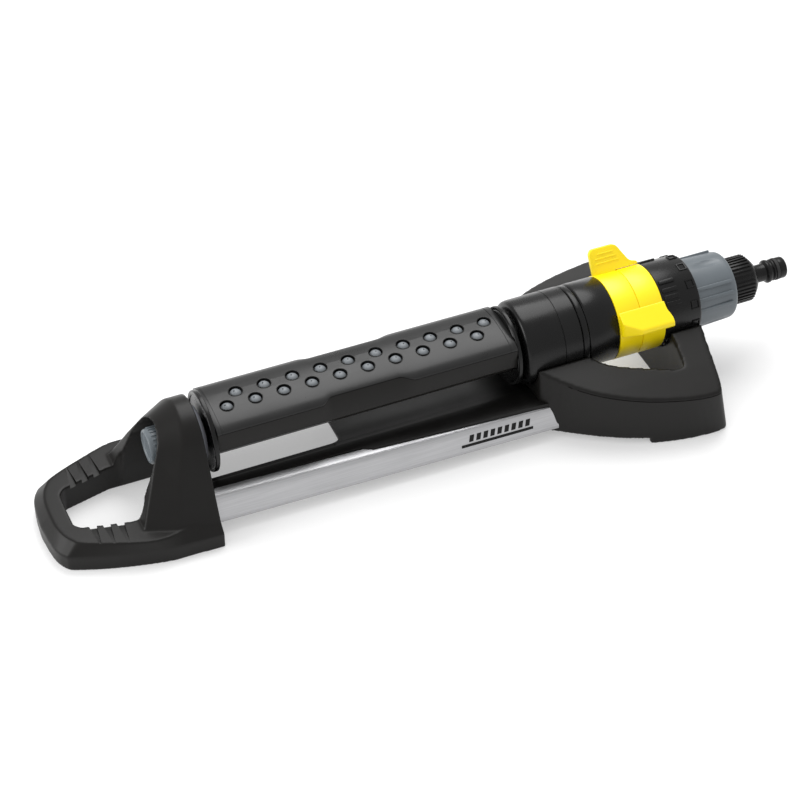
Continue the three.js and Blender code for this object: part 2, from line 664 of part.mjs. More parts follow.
// The front tab is a sloping shelf on the right ring that reaches over the left one.
function rightRangeRing() {
  const r = RANGE_RING_RADIUS;
  const section = [[10.2 - r, r - 9.7], [-r - 7.8, r - 17.5], [-r - 8.5, r - 20.9], [1.7 - r, r - 25.7]];
  const plan = [
    [tabsLeft, -15], [tabsLeft, -r - 2.3], [tabsLeft + 15, -r - 9.8], [tabsRight + 2, -r - 9.8],
    [tabsRight + 2, -r - 4.3], [tabsRight, 1.7 - r], [tabsRight, -15],
  ];
  const tab = alongX(section, tabsLeft - 1, tabsRight + 3).intersect(alongZ(plan, 0, 36));
  const over = rod(tabsLeft - 5, rangeRingRight, TAB_CLEARANCE, 36);
  const inside = rod(tabsLeft - 1, tabsRight + 3, RANGE_RING_RADIUS - 1, 36);
  return joined(rangeRing(rangeRingRight, RIGHT_LUG_ANGLE), cut(tab, over, inside));
}

piece("range_ring_left", leftRangeRing(), plastic(YELLOW, 0.35));
piece("range_ring_right", rightRangeRing(), plastic(YELLOW, 0.35));

// ---------- hose end ----------

piece("scale_collar",
  turned([
    [collarLeft, SLEEVE_RADIUS + GAP], [collarLeft + COLLAR_LENGTH, SLEEVE_RADIUS + GAP],
    [collarLeft + COLLAR_LENGTH, COLLAR_RADIUS - 0.8], [collarLeft + COLLAR_LENGTH - 0.8, COLLAR_RADIUS],
    [collarLeft, COLLAR_RADIUS],
  ], 36), plastic(BLACK, 0.35));

const spigotFlange = collarLeft + 5;
const spigotEnd = nippleLeft - 5;
piece("inlet_spigot",
  turned([
    [spigotFlange, INLET_BORE], [spigotEnd, INLET_BORE], [spigotEnd, INLET_RADIUS],
    [spigotFlange + 3, INLET_RADIUS], [spigotFlange + 3, SLEEVE_BORE - GAP],
    [spigotFlange, SLEEVE_BORE - GAP],
  ], 32), plastic(BLACK));

function flowKnob() {
  const bore = INLET_RADIUS + GAP;
  const end = knobLeft + KNOB_LENGTH;
  return turned([
    [knobLeft - 12, bore], [end, bore], [end, KNOB_RADIUS - 4], [end - 1.6, KNOB_RADIUS - 1.6],
    [end - 4, KNOB_RADIUS - 1.1], [knobLeft, KNOB_RADIUS], [knobLeft, KNOB_RADIUS - 2.6],
    [end - 4, KNOB_RADIUS - 4.2], [end - 4, bore + 2.5], [knobLeft - 12, bore + 2.5],
  ], 36);
}

piece("flow_knob", flowKnob(), plastic(BLUE_GREY, 0.4));

function hoseAdapter() {
  const bore = 4.4;
  return turned([
    [nutLeft, INLET_RADIUS + GAP], [spigotEnd + 3, INLET_RADIUS + GAP], [spigotEnd + 3, bore],
    [hoseEnd, bore], [hoseEnd, 7.6], [hoseEnd - 1, 8.2], [hoseEnd - 6, 8.2], [hoseEnd - 6, 6.4],
    [hoseEnd - 9, 6.4], [hoseEnd - 9, 8.2], [hoseEnd - 10.5, 8.2], [hoseEnd - 11.5, 7],
    [hoseEnd - 12.3, 7], [hoseEnd - 12.8, 8.8], [hoseEnd - 15.5, 8.8], [hoseEnd - 17, 6.75],
    [nippleLeft + 2, 6.75], [nippleLeft + 1.5, 12], [nippleLeft - 3, NUT_RADIUS - 0.6],
    [nippleLeft - 5, NUT_RADIUS], [nutLeft, NUT_RADIUS],
  ], 20);
}

piece("hose_adapter", hoseAdapter(), plastic(BLACK));
piece("adapter_washer", tube(spigotEnd + GAP, spigotEnd + 2.7, 12.6, 5.5, 24), plastic(RUBBER, 0.8));
piece("hose_seal", tube(hoseEnd - 8.7, hoseEnd - 6.3, 8.4, 6.7, 24), plastic(RUBBER, 0.8));

// The strainer is a cup in the inlet's mouth.
piece("inlet_strainer",
  turned([
    [spigotEnd - 12, 0], [spigotEnd - 12, INLET_BORE - 1], [spigotEnd, INLET_BORE - GAP],
    [spigotEnd, INLET_BORE - 1.5], [spigotEnd - 11, INLET_BORE - 2.2], [spigotEnd - 11, 0],
  ], 20), metal(STEEL));

// ---------- right foot ----------

// Half plans of the right foot in X and Y, at the ground and at the top of its wings.
const cradleLeft = housingLeft + CRADLE_LEFT_GAP;
const cradleRight = collarLeft + COLLAR_LENGTH;
const cradleBase = [
  [cradleLeft, 0], [cradleLeft, 40], [cradleLeft + 22, 55.5], [cradleLeft + 44, 69],
  [cradleLeft + 69, 80.5], [cradleLeft + 99, 87.5], [cradleRight - 9, CRADLE_HALF_WIDTH],
  [cradleRight - 2.5, CRADLE_HALF_WIDTH - 5], [cradleRight - 0.6, 70], [cradleRight, 30], [cradleRight, 0],
];
const cradleTop = [
  [cradleLeft, 0], [cradleLeft, 31], [cradleLeft + 22, 53], [cradleLeft + 40, 65],
  [cradleLeft + 66, 75], [cradleLeft + 94, 82.5], [cradleRight - 22, 85.5], [cradleRight - 16, 82],
  [cradleRight - 9, 60], [cradleRight, 30], [cradleRight, 0],
];
const cradleOpening = [
  [cradleLeft + 38, 0], [cradleLeft + 39, 25], [cradleLeft + 44, 35], [cradleLeft + 58, 45],
  [cradleLeft + 87, 56], [cradleLeft + 98, 59.5], [cradleLeft + 103, 59], [cradleLeft + 105, 55],
  [cradleLeft + 107, 33], [cradleLeft + 107.5, 0],
];
const wingRoof = [[95, FLOOR - 1], [95, -23], [31, -2.5], [0, 6]];

function insetPlan(plan, wall) {
  const middleX = cradleLeft + 85;
  return plan.map(([x, y]) => [x + Math.sign(middleX - x) * wall, Math.max(0, y - (y > 0 ? wall : 0))]);
}

function cradleBody() {
  const flare = loft([
    ringAtZ(closedRing(cradleBase), FLOOR), ringAtZ(closedRing(cradleTop), 10),
  ]);
  return flare.intersect(alongX(mirroredPoints(wingRoof), cradleLeft - 1, cradleRight + 1));
}

function closedRing(half) {
  const other = half.slice(1, -1).map(([x, y]) => [x, -y]);
  return [...other.reverse(), half[0], ...half.slice(1)].reverse();
}

function rightFoot() {
  const wall = PLASTIC_WALL;
  const opening = alongZ(closedRing(cradleOpening), FLOOR - 1, 20);
  const grown = cradleOpening.map(([x, y]) => [x < cradleLeft + 80 ? x - wall : x + wall, y ? y + wall : 0]);
  const skirt = alongZ(closedRing(grown), FLOOR - 2, 20);
  const inside = loft([
    ringAtZ(closedRing(insetPlan(cradleBase, wall)), FLOOR - 1),
    ringAtZ(closedRing(insetPlan(cradleTop, wall)), 10),
  ]);
  const lowRoof = wingRoof.map(([y, z]) => [y, z - wall - 1]);
  const underRoof = inside.intersect(alongX(mirroredPoints(lowRoof), cradleLeft, cradleRight));
  const saddle = rod(cradleLeft - 1, cradleRight + 1, HOUSING_RADIUS + 3.5, 36);
  const cavity = cut(underRoof, skirt, saddle);
  const seat = rod(cradleLeft - 1, cradleRight + 1, HOUSING_RADIUS + GAP, 36);
  const step = box(cradleLeft - 1, cradleLeft + STEP_LENGTH, -95, 95, FLOOR - 1, FLOOR + STEP_HEIGHT);
  return cut(cradleBody(), opening, cavity, seat, step, ...rightScrewHoles());
}

function rightScrewHoles() {
  return [-1, 1].map((side) => screwAt(cradleLeft, side, SCREW_RADIUS + GAP));
}

piece("right_foot", rightFoot(), plastic(SATIN_BLACK));

// ---------- base ----------


function rail(side) {
  const section = [
    [-6.3, 0], [-1, -1.1], [1.2, -5.5], [3.6, -14.5], [4.4, -22], [2.4, -22], [1.6, -14.5], [-1, -5.5],
    [-3, -3.5], [-6.3, -3.5],
  ];
  const place = (centre, drop) => section.map(([y, z]) => [centre + y, BASE_TOP + z - drop]).reverse();
  const body = loft([
    ringAtX(place(RAIL_LEFT_Y, 0), footRight + GAP), ringAtX(place(RAIL_RIGHT_Y, 2.5), cradleLeft + 30),
  ]);
  const placed = side > 0 ? body : body.mirror([0, 1, 0]);
  return cut(placed, cradleBody().translate(-0.4, 0, 0), cradleBody().translate(-0.2, side * 0.4, 0));
}

piece("front_rail", rail(-1), metal(SILVER));
piece("rear_rail", rail(1), metal(SILVER));

function baseFrame() {
  const beam = [
    [BASE_INNER_Y, -2], [BASE_INNER_Y + 4.5, -1.5], [BASE_INNER_Y + 5, 0], [BASE_OUTER_Y, -0.5],
    [BASE_OUTER_Y, -7.5], [BASE_INNER_Y, -7.5],
  ].reverse().map(([y, z]) => [y, BASE_TOP + z]);
  const right = cradleLeft + 5;
  const front = alongX(beam, footRight + GAP, right);
  const trayLeft = cradleLeft - TRAY_LENGTH;
  const tray = box(trayLeft, right, -BASE_INNER_Y - 1, BASE_INNER_Y + 1, TRAY_BOTTOM, TRAY_BOTTOM + 3.5);
  const whole = joined(front, front.mirror([0, 1, 0]), tray);
  const holes = [-1, 1].flatMap((side) => [
    screwAt(footRight, side, SCREW_RADIUS + 0.1), screwAt(cradleLeft, side, SCREW_RADIUS + 0.1),
  ]);
  return cut(whole, cradleBody().translate(-0.4, 0, 0), ...holes);
}

piece("base_frame", baseFrame(), plastic(BLACK));

// A pan-head screw along X, with its head at the side that turn names.
function screw(x, side, turn) {
  const head = turned([[-3.4, 0], [-3.4, 2.4], [-2.4, 3.3], [0, 3.3], [0, 0]], 12);
  const body = joined(head, rod(-1, 10, SCREW_RADIUS, 10));
  return (turn > 0 ? body : body.mirror([1, 0, 0])).translate(x, side * SCREW_Y, SCREW_Z);
}

for (const side of [-1, 1]) {
  const where = side < 0 ? "front" : "rear";
  piece(`left_screw_${where}`, screw(footRight - PLASTIC_WALL - GAP, side, 1), metal(STEEL));
  piece(`right_screw_${where}`, screw(cradleLeft + PLASTIC_WALL + GAP, side, -1), metal(STEEL));
}

export default root;
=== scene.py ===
"""Oscillating lawn sprinkler.

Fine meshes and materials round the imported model, with floor, light and camera.
"""

import json
import math

import bmesh
import bpy
from mathutils import Matrix, Vector


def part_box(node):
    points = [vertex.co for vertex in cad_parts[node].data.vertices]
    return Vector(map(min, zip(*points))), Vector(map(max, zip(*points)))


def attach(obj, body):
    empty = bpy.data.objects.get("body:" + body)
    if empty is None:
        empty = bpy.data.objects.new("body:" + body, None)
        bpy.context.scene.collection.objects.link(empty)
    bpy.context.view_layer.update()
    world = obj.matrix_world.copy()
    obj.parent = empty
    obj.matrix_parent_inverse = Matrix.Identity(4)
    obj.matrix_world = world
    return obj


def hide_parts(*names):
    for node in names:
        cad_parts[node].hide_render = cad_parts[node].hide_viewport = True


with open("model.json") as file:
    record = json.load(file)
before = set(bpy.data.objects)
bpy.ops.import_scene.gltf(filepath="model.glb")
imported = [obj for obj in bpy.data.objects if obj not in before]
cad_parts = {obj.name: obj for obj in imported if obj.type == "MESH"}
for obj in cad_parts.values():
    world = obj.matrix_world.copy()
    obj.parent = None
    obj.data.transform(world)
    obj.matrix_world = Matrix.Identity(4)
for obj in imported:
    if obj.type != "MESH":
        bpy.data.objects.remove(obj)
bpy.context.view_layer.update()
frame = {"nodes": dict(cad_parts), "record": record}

MM = 0.001
GAP = 0.3  # clearance between neighbouring pieces

# Pieces are drawn in millimetres round the tube's axis, with X = 0 at the tube's left end.
TUBE_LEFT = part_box("tube_cover")[0][0]
AXIS_HEIGHT = (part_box("motor_housing")[0][2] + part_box("motor_housing")[1][2]) / 2
FLOOR = -AXIS_HEIGHT / MM


def left_of(node):
    return (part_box(node)[0][0] - TUBE_LEFT) / MM


def right_of(node):
    return (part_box(node)[1][0] - TUBE_LEFT) / MM


def radius_of(node):
    return (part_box(node)[1][2] - AXIS_HEIGHT) / MM


ROUND_STEPS = 128  # steps of the parts that are turned round the barrel

TUBE_LENGTH = right_of("tube_cover")
FOOT_LEFT = left_of("left_foot")
FOOT_RIGHT = right_of("left_foot")
CRADLE_LEFT = left_of("right_foot")
CRADLE_RIGHT = right_of("right_foot")
HOUSING_LEFT = left_of("motor_housing")
HOUSING_RIGHT = right_of("motor_housing")


# ---------- modelling helpers ----------

def select_only(thing):
    bpy.ops.object.select_all(action="DESELECT")
    thing.select_set(True)
    bpy.context.view_layer.objects.active = thing


def edit(thing):
    select_only(thing)
    bpy.ops.object.mode_set(mode="EDIT")


def leave():
    bpy.ops.object.mode_set(mode="OBJECT")


def chain(points):
    """A row of edges through the points, drawn out of one vertex by extruding it again and again."""
    bpy.ops.object.select_all(action="DESELECT")
    bpy.ops.mesh.primitive_plane_add(size=1)
    bpy.ops.object.mode_set(mode="EDIT")
    bpy.ops.mesh.select_all(action="SELECT")
    bpy.ops.mesh.merge(type="CENTER")
    bpy.ops.transform.translate(value=Vector(points[0]))
    for before, after in zip(points, points[1:]):
        step = Vector(after) - Vector(before)
        bpy.ops.mesh.extrude_region_move(TRANSFORM_OT_translate={"value": step})
    bpy.ops.mesh.select_all(action="SELECT")
    bpy.ops.mesh.edge_face_add()
    return bpy.context.edit_object


def tidy_normals(thing):
    edit(thing)
    bpy.ops.mesh.select_all(action="SELECT")
    bpy.ops.mesh.remove_doubles(threshold=0.001)
    bpy.ops.mesh.normals_make_consistent(inside=False)
    leave()
    return thing


def extruded(points, way):
    """A closed outline of 3-D points pushed along a vector."""
    thing = chain(points)
    bpy.ops.mesh.extrude_region_move(TRANSFORM_OT_translate={"value": Vector(way)})
    leave()
    return tidy_normals(thing)


def along_x(outline, x0, x1):
    return extruded([(x0, y, z) for y, z in outline], (x1 - x0, 0, 0))


def along_y(outline, y0, y1):
    return extruded([(x, y0, z) for x, z in outline], (0, y1 - y0, 0))


def along_z(outline, z0, z1):
    return extruded([(x, y, z0) for x, y in outline], (0, 0, z1 - z0))


def block(x0, x1, y0, y1, z0, z1):
    return along_z([(x0, y0), (x1, y0), (x1, y1), (x0, y1)], z0, z1)


def lofted(rings):
    """A skin through rings of equal counts: each extruded cap is moved on to the next ring."""
    thing = chain(rings[0])
    for before, after in zip(rings, rings[1:]):
        bpy.ops.mesh.extrude_region_move(TRANSFORM_OT_translate={"value": (0, 0, 0)})
        mesh = bmesh.from_edit_mesh(thing.data)
        cap = [v for v in mesh.verts if v.select]
        places = {tuple(round(c, 2) for c in p): q for p, q in zip(before, after)}
        for vertex in cap:
            vertex.co = places[tuple(round(c, 2) for c in vertex.co)]
        bmesh.update_edit_mesh(thing.data)
    leave()
    return tidy_normals(thing)


def turned(profile, steps=96):
    """A closed outline of X and radius, spun round the axis."""
    thing = chain([(x, 0, r) for x, r in profile])
    bpy.ops.mesh.delete(type="ONLY_FACE")
    bpy.ops.mesh.select_all(action="SELECT")
    bpy.ops.mesh.spin(steps=steps, angle=math.tau, center=(0, 0, 0), axis=(1, 0, 0))
    leave()
    return tidy_normals(thing)


def rod(x0, x1, radius, steps=48):
    return turned([(x0, 0), (x1, 0), (x1, radius), (x0, radius)], steps)


def moved(thing, offset=(0, 0, 0), turn=0.0, axis="X"):
    select_only(thing)
    thing.rotation_euler["XYZ".index(axis)] = math.radians(turn)
    thing.location = offset
    bpy.ops.object.transform_apply(location=True, rotation=True, scale=True)
    return thing


def copy_of(thing):
    select_only(thing)
    bpy.ops.object.duplicate()
    return bpy.context.view_layer.objects.active


def with_modifier(thing, kind, **settings):
    modifier = thing.modifiers.new(kind.lower(), kind)
    for name, value in settings.items():
        setattr(modifier, name, value)
    select_only(thing)
    bpy.ops.object.modifier_apply(modifier=modifier.name)
    return thing


def combined(operation, first, others):
    for other in others:
        with_modifier(first, "BOOLEAN", operation=operation, solver="MANIFOLD", object=other)
        bpy.data.objects.remove(other)
    return first


def cut(first, *others):
    return combined("DIFFERENCE", first, others)


def united(first, *others):
    return combined("UNION", first, others)


def common(first, *others):
    return combined("INTERSECT", first, others)


def grouped(first, *others):
    """Several closed bodies in one mesh."""
    bpy.ops.object.select_all(action="DESELECT")
    for thing in (first, *others):
        thing.select_set(True)
    bpy.context.view_layer.objects.active = first
    bpy.ops.object.join()
    return first


def bevelled(thing, width, segments=3, angle=28):
    return with_modifier(
        thing, "BEVEL", width=width, segments=segments, limit_method="ANGLE",
        angle_limit=math.radians(angle), use_clamp_overlap=True, harden_normals=False)


def softened(thing, voxel, rounds):
    """Fillets on every edge at once, as a moulding has: an even skin, then smoothed."""
    with_modifier(thing, "REMESH", mode="VOXEL", voxel_size=voxel, use_smooth_shade=True)
    return with_modifier(thing, "SMOOTH", factor=0.5, iterations=rounds)


def mirrored(half):
    """A half outline of (y, z) from the ground up to the crest, and its mirror image."""
    other = [(-y, z) for y, z in reversed(half) if y > 0.001]
    return list(half) + other


def mirrored_down(half):
    """A half outline of (y, z) from the rim down to the keel, and its mirror image."""
    return list(half) + [(-y, z) for y, z in reversed(half)]


def arc(radius, first, last, steps, centre=(0, 0)):
    points = []
    for i in range(steps + 1):
        angle = math.radians(first + (last - first) * i / steps)
        points.append((centre[0] + radius * math.cos(angle), centre[1] + radius * math.sin(angle)))
    return points


def rounded(points, radius, steps=4):
    """A closed outline with every corner turned into an arc."""
    outline = []
    for before, corner, after in zip(points[-1:] + points[:-1], points, points[1:] + points[:1]):
        here = Vector(corner)
        back = Vector(before) - here
        ahead = Vector(after) - here
        reach = min(radius, back.length * 0.45, ahead.length * 0.45)
        start = here + back.normalized() * reach
        end = here + ahead.normalized() * reach
        for i in range(steps + 1):
            t = i / steps
            outline.append(tuple(start * (1 - t) ** 2 + here * 2 * t * (1 - t) + end * t * t))
    return outline


def finished(name, thing, material, body, replaced, smooth):
    """Puts a drawn piece in its place and hands it over. Edges that turn less than smooth degrees look round."""
    select_only(thing)
    thing.name = name
    thing.data.name = name
    thing.scale = (MM, MM, MM)
    thing.location = (TUBE_LEFT, 0, AXIS_HEIGHT)
    bpy.ops.object.transform_apply(location=True, rotation=True, scale=True)
    bpy.ops.object.shade_smooth_by_angle(angle=math.radians(smooth))
    thing.data.materials.clear()
    thing.data.materials.append(material)
    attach(thing, body)
    if replaced:
        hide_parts(*replaced)
    return thing


def smooth_through(points, steps=4):
    """A Catmull-Rom curve through the points."""
    curve = []
    last = len(points) - 1
    for i in range(last):
        a, b, c, d = (Vector(points[k]) for k in (max(i - 1, 0), i, i + 1, min(i + 2, last)))
        for k in range(steps):
            t = k / steps
            curve.append(tuple(
                0.5 * (2 * b + (c - a) * t + (2 * a - 5 * b + 4 * c - d) * t ** 2
                       + (3 * b - 3 * c + d - a) * t ** 3)))
    curve.append(tuple(points[-1]))
    return curve


def at_x(outline, x, lean=0.0):
    return [(x + lean * z, y, z) for y, z in outline]


def at_z(outline, z):
    return [(x, y, z) for x, y in outline]


def both_sides(half):
    """A half plan of (x, y) from the middle line outwards, and its mirror image in front of it."""
    other = [(x, -y) for x, y in reversed(half) if y > 0.001]
    return other + list(half)


# ---------- materials ----------

def new_group(name, inputs, outputs):
    group = bpy.data.node_groups.new(name, "ShaderNodeTree")
    for label, kind, value in inputs:
        socket = group.interface.new_socket(label, in_out="INPUT", socket_type=kind)
        if value is not None:
            socket.default_value = value
    for label, kind in outputs:
        group.interface.new_socket(label, in_out="OUTPUT", socket_type=kind)
    return group, group.nodes.new("NodeGroupInput"), group.nodes.new("NodeGroupOutput")


def add_node(tree, kind, **settings):
    node = tree.nodes.new(kind)
    for name, value in settings.items():
        setattr(node, name, value)
    return node


def noise(tree, vector, scale, detail=3.0):
    node = add_node(tree, "ShaderNodeTexNoise")
    tree.links.new(vector, node.inputs["Vector"])
    node.inputs["Detail"].default_value = detail
    if isinstance(scale, float):
        node.inputs["Scale"].default_value = scale
    else:
        tree.links.new(scale, node.inputs["Scale"])
    return node.outputs["Fac"]


def mapped(tree, value, low, high, to_low, to_high):
    node = add_node(tree, "ShaderNodeMapRange")
    for label, source in (("Value", value), ("From Min", low), ("From Max", high),
                          ("To Min", to_low), ("To Max", to_high)):
        if isinstance(source, (int, float)):
            node.inputs[label].default_value = source
        else:
            tree.links.new(source, node.inputs[label])
    return node.outputs["Result"]


def maths(tree, operation, first, second):
    node = add_node(tree, "ShaderNodeMath", operation=operation)
    for socket, source in zip(node.inputs, (first, second)):
        if isinstance(source, (int, float)):
            socket.default_value = source
        else:
            tree.links.new(source, socket)
    return node.outputs["Value"]


def blended(tree, factor, first, second):
    node = add_node(tree, "ShaderNodeMix", data_type="RGBA")
    tree.links.new(factor, node.inputs["Factor"])
    for label, source in (("A", first), ("B", second)):
        socket = [s for s in node.inputs if s.name == label and s.type == "RGBA"][0]
        if isinstance(source, tuple):
            socket.default_value = source
        else:
            tree.links.new(source, socket)
    return [s for s in node.outputs if s.type == "RGBA"][0]


def moulded_group():
    """Moulded plastic: a fine grain, faint flow marks, and a painted highlight that makes the sharp edges
    slightly paler.
    """
    group, given, out = new_group("moulded_surface", [
        ("Vector", "NodeSocketVector", None),
        ("Base Color", "NodeSocketColor", (0.1, 0.1, 0.1, 1)),
        ("Mottle and Highlight Color", "NodeSocketColor", (0.2, 0.2, 0.2, 1)),
        ("Roughness", "NodeSocketFloat", 0.4),
        ("Grain Scale", "NodeSocketFloat", 1800.0),
        ("Grain Depth", "NodeSocketFloat", 0.5),
        ("Edge Highlight Amount", "NodeSocketFloat", 0.3),
    ], [("Color", "NodeSocketColor"), ("Roughness", "NodeSocketFloat"), ("Height", "NodeSocketFloat")])
    grain = noise(group, given.outputs["Vector"], given.outputs["Grain Scale"])
    flow = noise(group, given.outputs["Vector"], 38.0, 5.0)
    geometry = add_node(group, "ShaderNodeNewGeometry")
    # Painted highlight: sharp edges, found by pointiness, are blended towards the paler colour.
    edge = mapped(group, geometry.outputs["Pointiness"], 0.52, 0.6, 0, 1)
    patchy = maths(group, "MULTIPLY", edge, mapped(group, flow, 0.35, 0.65, 0.3, 1))
    edge_highlight_mask = maths(group, "MULTIPLY", patchy, given.outputs["Edge Highlight Amount"])
    shade = blended(group, mapped(group, flow, 0.3, 0.7, 0, 0.12),
                    given.outputs["Base Color"], given.outputs["Mottle and Highlight Color"])
    colour = blended(group, edge_highlight_mask, shade, given.outputs["Mottle and Highlight Color"])
    uneven = mapped(group, flow, 0.3, 0.7, -0.035, 0.035)
    fine = mapped(group, grain, 0.3, 0.7, -0.02, 0.02)
    rough = maths(group, "ADD", given.outputs["Roughness"], maths(group, "ADD", uneven, fine))
    group.links.new(colour, out.inputs["Color"])
    group.links.new(rough, out.inputs["Roughness"])
    group.links.new(maths(group, "MULTIPLY", grain, given.outputs["Grain Depth"]), out.inputs["Height"])
    return group


def brushed_group():
    """Metal drawn along X: long fine lines in height, gloss and shade."""
    group, given, out = new_group("brushed_surface", [
        ("Vector", "NodeSocketVector", None),
        ("Base Color", "NodeSocketColor", (0.7, 0.7, 0.7, 1)),
        ("Line Color", "NodeSocketColor", (0.6, 0.6, 0.6, 1)),
        ("Roughness", "NodeSocketFloat", 0.3),
        ("Line Depth", "NodeSocketFloat", 0.5),
    ], [("Color", "NodeSocketColor"), ("Roughness", "NodeSocketFloat"), ("Height", "NodeSocketFloat")])
    stretched = add_node(group, "ShaderNodeMapping")
    stretched.inputs["Scale"].default_value = (12, 1500, 1500)
    group.links.new(given.outputs["Vector"], stretched.inputs["Vector"])
    lines = noise(group, stretched.outputs["Vector"], 1.0, 4.0)
    cloud = noise(group, given.outputs["Vector"], 22.0, 4.0)
    colour = blended(group, mapped(group, lines, 0.35, 0.65, 0, 0.6),
                     given.outputs["Base Color"], given.outputs["Line Color"])
    rough = maths(group, "ADD", given.outputs["Roughness"], mapped(group, cloud, 0.3, 0.7, -0.04, 0.04))
    group.links.new(colour, out.inputs["Color"])
    group.links.new(rough, out.inputs["Roughness"])
    group.links.new(maths(group, "MULTIPLY", lines, given.outputs["Line Depth"]), out.inputs["Height"])
    return group


MOULDED = moulded_group()
BRUSHED = brushed_group()


RELIEF_DEPTH = 0.00002


def surface(name, group, values, metallic=0.0, subsurface=0.0, specular=0.5):
    material = bpy.data.materials.new(name)
    material.use_nodes = True
    tree = material.node_tree
    shader = tree.nodes["Principled BSDF"]
    shader.inputs["Metallic"].default_value = metallic
    shader.inputs["Specular IOR Level"].default_value = specular
    shader.inputs["Subsurface Weight"].default_value = subsurface
    shader.inputs["Subsurface Scale"].default_value = 0.002
    place = add_node(tree, "ShaderNodeTexCoord")
    effect = add_node(tree, "ShaderNodeGroup", node_tree=group)
    tree.links.new(place.outputs["Object"], effect.inputs["Vector"])
    for label, value in values.items():
        effect.inputs[label].default_value = value
    relief = add_node(tree, "ShaderNodeBump")
    relief.inputs["Strength"].default_value = 0.35
    relief.inputs["Distance"].default_value = RELIEF_DEPTH
    tree.links.new(effect.outputs["Height"], relief.inputs["Height"])
    tree.links.new(effect.outputs["Color"], shader.inputs["Base Color"])
    tree.links.new(effect.outputs["Roughness"], shader.inputs["Roughness"])
    tree.links.new(relief.outputs["Normal"], shader.inputs["Normal"])
    return material


# Each finish takes the strength of a painted highlight that makes its sharp edges paler. The paler colour also
# tints the flow marks.
def moulded(name, colour, roughness, grain=1800.0, depth=0.6, edge_highlight=0.3, **others):
    paler = tuple(min(1, c * 1.6 + 0.006) for c in colour)
    return surface(name, MOULDED, {
        "Base Color": (*colour, 1), "Mottle and Highlight Color": (*paler, 1), "Roughness": roughness,
        "Grain Scale": grain, "Grain Depth": depth, "Edge Highlight Amount": edge_highlight}, **others)


def brushed(name, colour, roughness, **others):
    darker = tuple(c * 0.82 for c in colour)
    return surface(name, BRUSHED, {
        "Base Color": (*colour, 1), "Line Color": (*darker, 1), "Roughness": roughness,
        "Line Depth": 0.6}, metallic=1.0, **others)


# Most finishes get a painted highlight on their sharp edges. The yellow and the ink get none.
FOOT_PLASTIC = moulded(
    "foot_plastic", (0.0075, 0.0070, 0.0065), 0.38, grain=1500.0, depth=1.0, edge_highlight=0.25, specular=0.2)
CASE_PLASTIC = moulded("case_plastic", (0.0038, 0.0038, 0.0038), 0.27, depth=0.4, edge_highlight=0.15, specular=0.25)
TUBE_PLASTIC = moulded("tube_plastic", (0.0105, 0.0105, 0.0105), 0.31, depth=0.7, edge_highlight=0.25, specular=0.3)
TROUGH_PLASTIC = moulded("trough_plastic", (0.0080, 0.0074, 0.0068), 0.44, depth=0.8, edge_highlight=0.2, specular=0.2)
BASE_PLASTIC = moulded("base_plastic", (0.0060, 0.0056, 0.0052), 0.42, edge_highlight=0.2, specular=0.2)
YELLOW_PLASTIC = moulded("yellow_plastic", (0.97, 0.74, 0.0), 0.38, depth=0.3, edge_highlight=0.0)
KNOB_PLASTIC = moulded("knob_plastic", (0.105, 0.122, 0.135), 0.38, edge_highlight=0.25)
NOZZLE_PLASTIC = moulded("nozzle_plastic", (0.150, 0.163, 0.175), 0.46, grain=2600.0, edge_highlight=0.2)
RING_PLASTIC = moulded("ring_plastic", (0.20, 0.205, 0.23), 0.4, edge_highlight=0.2)
NATURAL_PLASTIC = moulded("natural_plastic", (0.72, 0.70, 0.62), 0.4, subsurface=0.15)
SEAL_RUBBER = moulded("seal_rubber", (0.012, 0.012, 0.012), 0.7, grain=2600.0, depth=1.2, edge_highlight=0.1)
RAIL_METAL = brushed("rail_metal", (0.44, 0.44, 0.45), 0.34)
BRIGHT_STEEL = brushed("bright_steel", (0.60, 0.60, 0.62), 0.25)
MARK_INK = moulded("mark_ink", (0.0040, 0.0040, 0.0040), 0.5, depth=0.2, edge_highlight=0.0, specular=0.2)


# ---------- left foot ----------

FOOT_HALF_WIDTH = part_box("left_foot")[1][1] / MM
ARCH_RADIUS = 29
ARM_TOP = -36.5
FOOT_WALL = 3
JOURNAL_BORE = 12.7
JOURNAL_SLEEVE = 16.4


def arch_outline(inset, radius):
    """Half of the arch's outline, from the ground up to the crown."""
    return [
        (FOOT_HALF_WIDTH - inset, FLOOR), (FOOT_HALF_WIDTH - 1.2 - inset, FLOOR + 8),
        (51 - inset, FLOOR + 18), (46.5 - inset, FLOOR + 27), (41 - inset, -19.5), (36.6 - inset, -10),
        *arc(radius, 24, 90, 14),
    ]


def arms():
    """The arms, joined by a bar at the left end, and their plan on the ground."""
    low = smooth_through([
        (FOOT_LEFT, 0), (FOOT_LEFT + 1, 14), (FOOT_LEFT + 3, 26), (FOOT_LEFT + 7, 34), (FOOT_LEFT + 13, 38.5),
        (FOOT_LEFT + 40.5, 48), (FOOT_LEFT + 73.5, 55.5), (FOOT_LEFT + 93.5, 56.5),
        (FOOT_RIGHT, FOOT_HALF_WIDTH)])
    high = smooth_through([
        (FOOT_LEFT + 7.5, 0), (FOOT_LEFT + 8, 13), (FOOT_LEFT + 10.5, 23), (FOOT_LEFT + 14.5, 30),
        (FOOT_LEFT + 20, 35.5), (FOOT_LEFT + 40.5, 44.5), (FOOT_LEFT + 68, 53.5), (FOOT_LEFT + 93.5, 50),
        (FOOT_RIGHT, 47)])
    plan = both_sides(low)
    body = lofted([at_z(plan, FLOOR), at_z(plan, ARM_TOP - 9), at_z(both_sides(high), ARM_TOP)])
    return body, plan


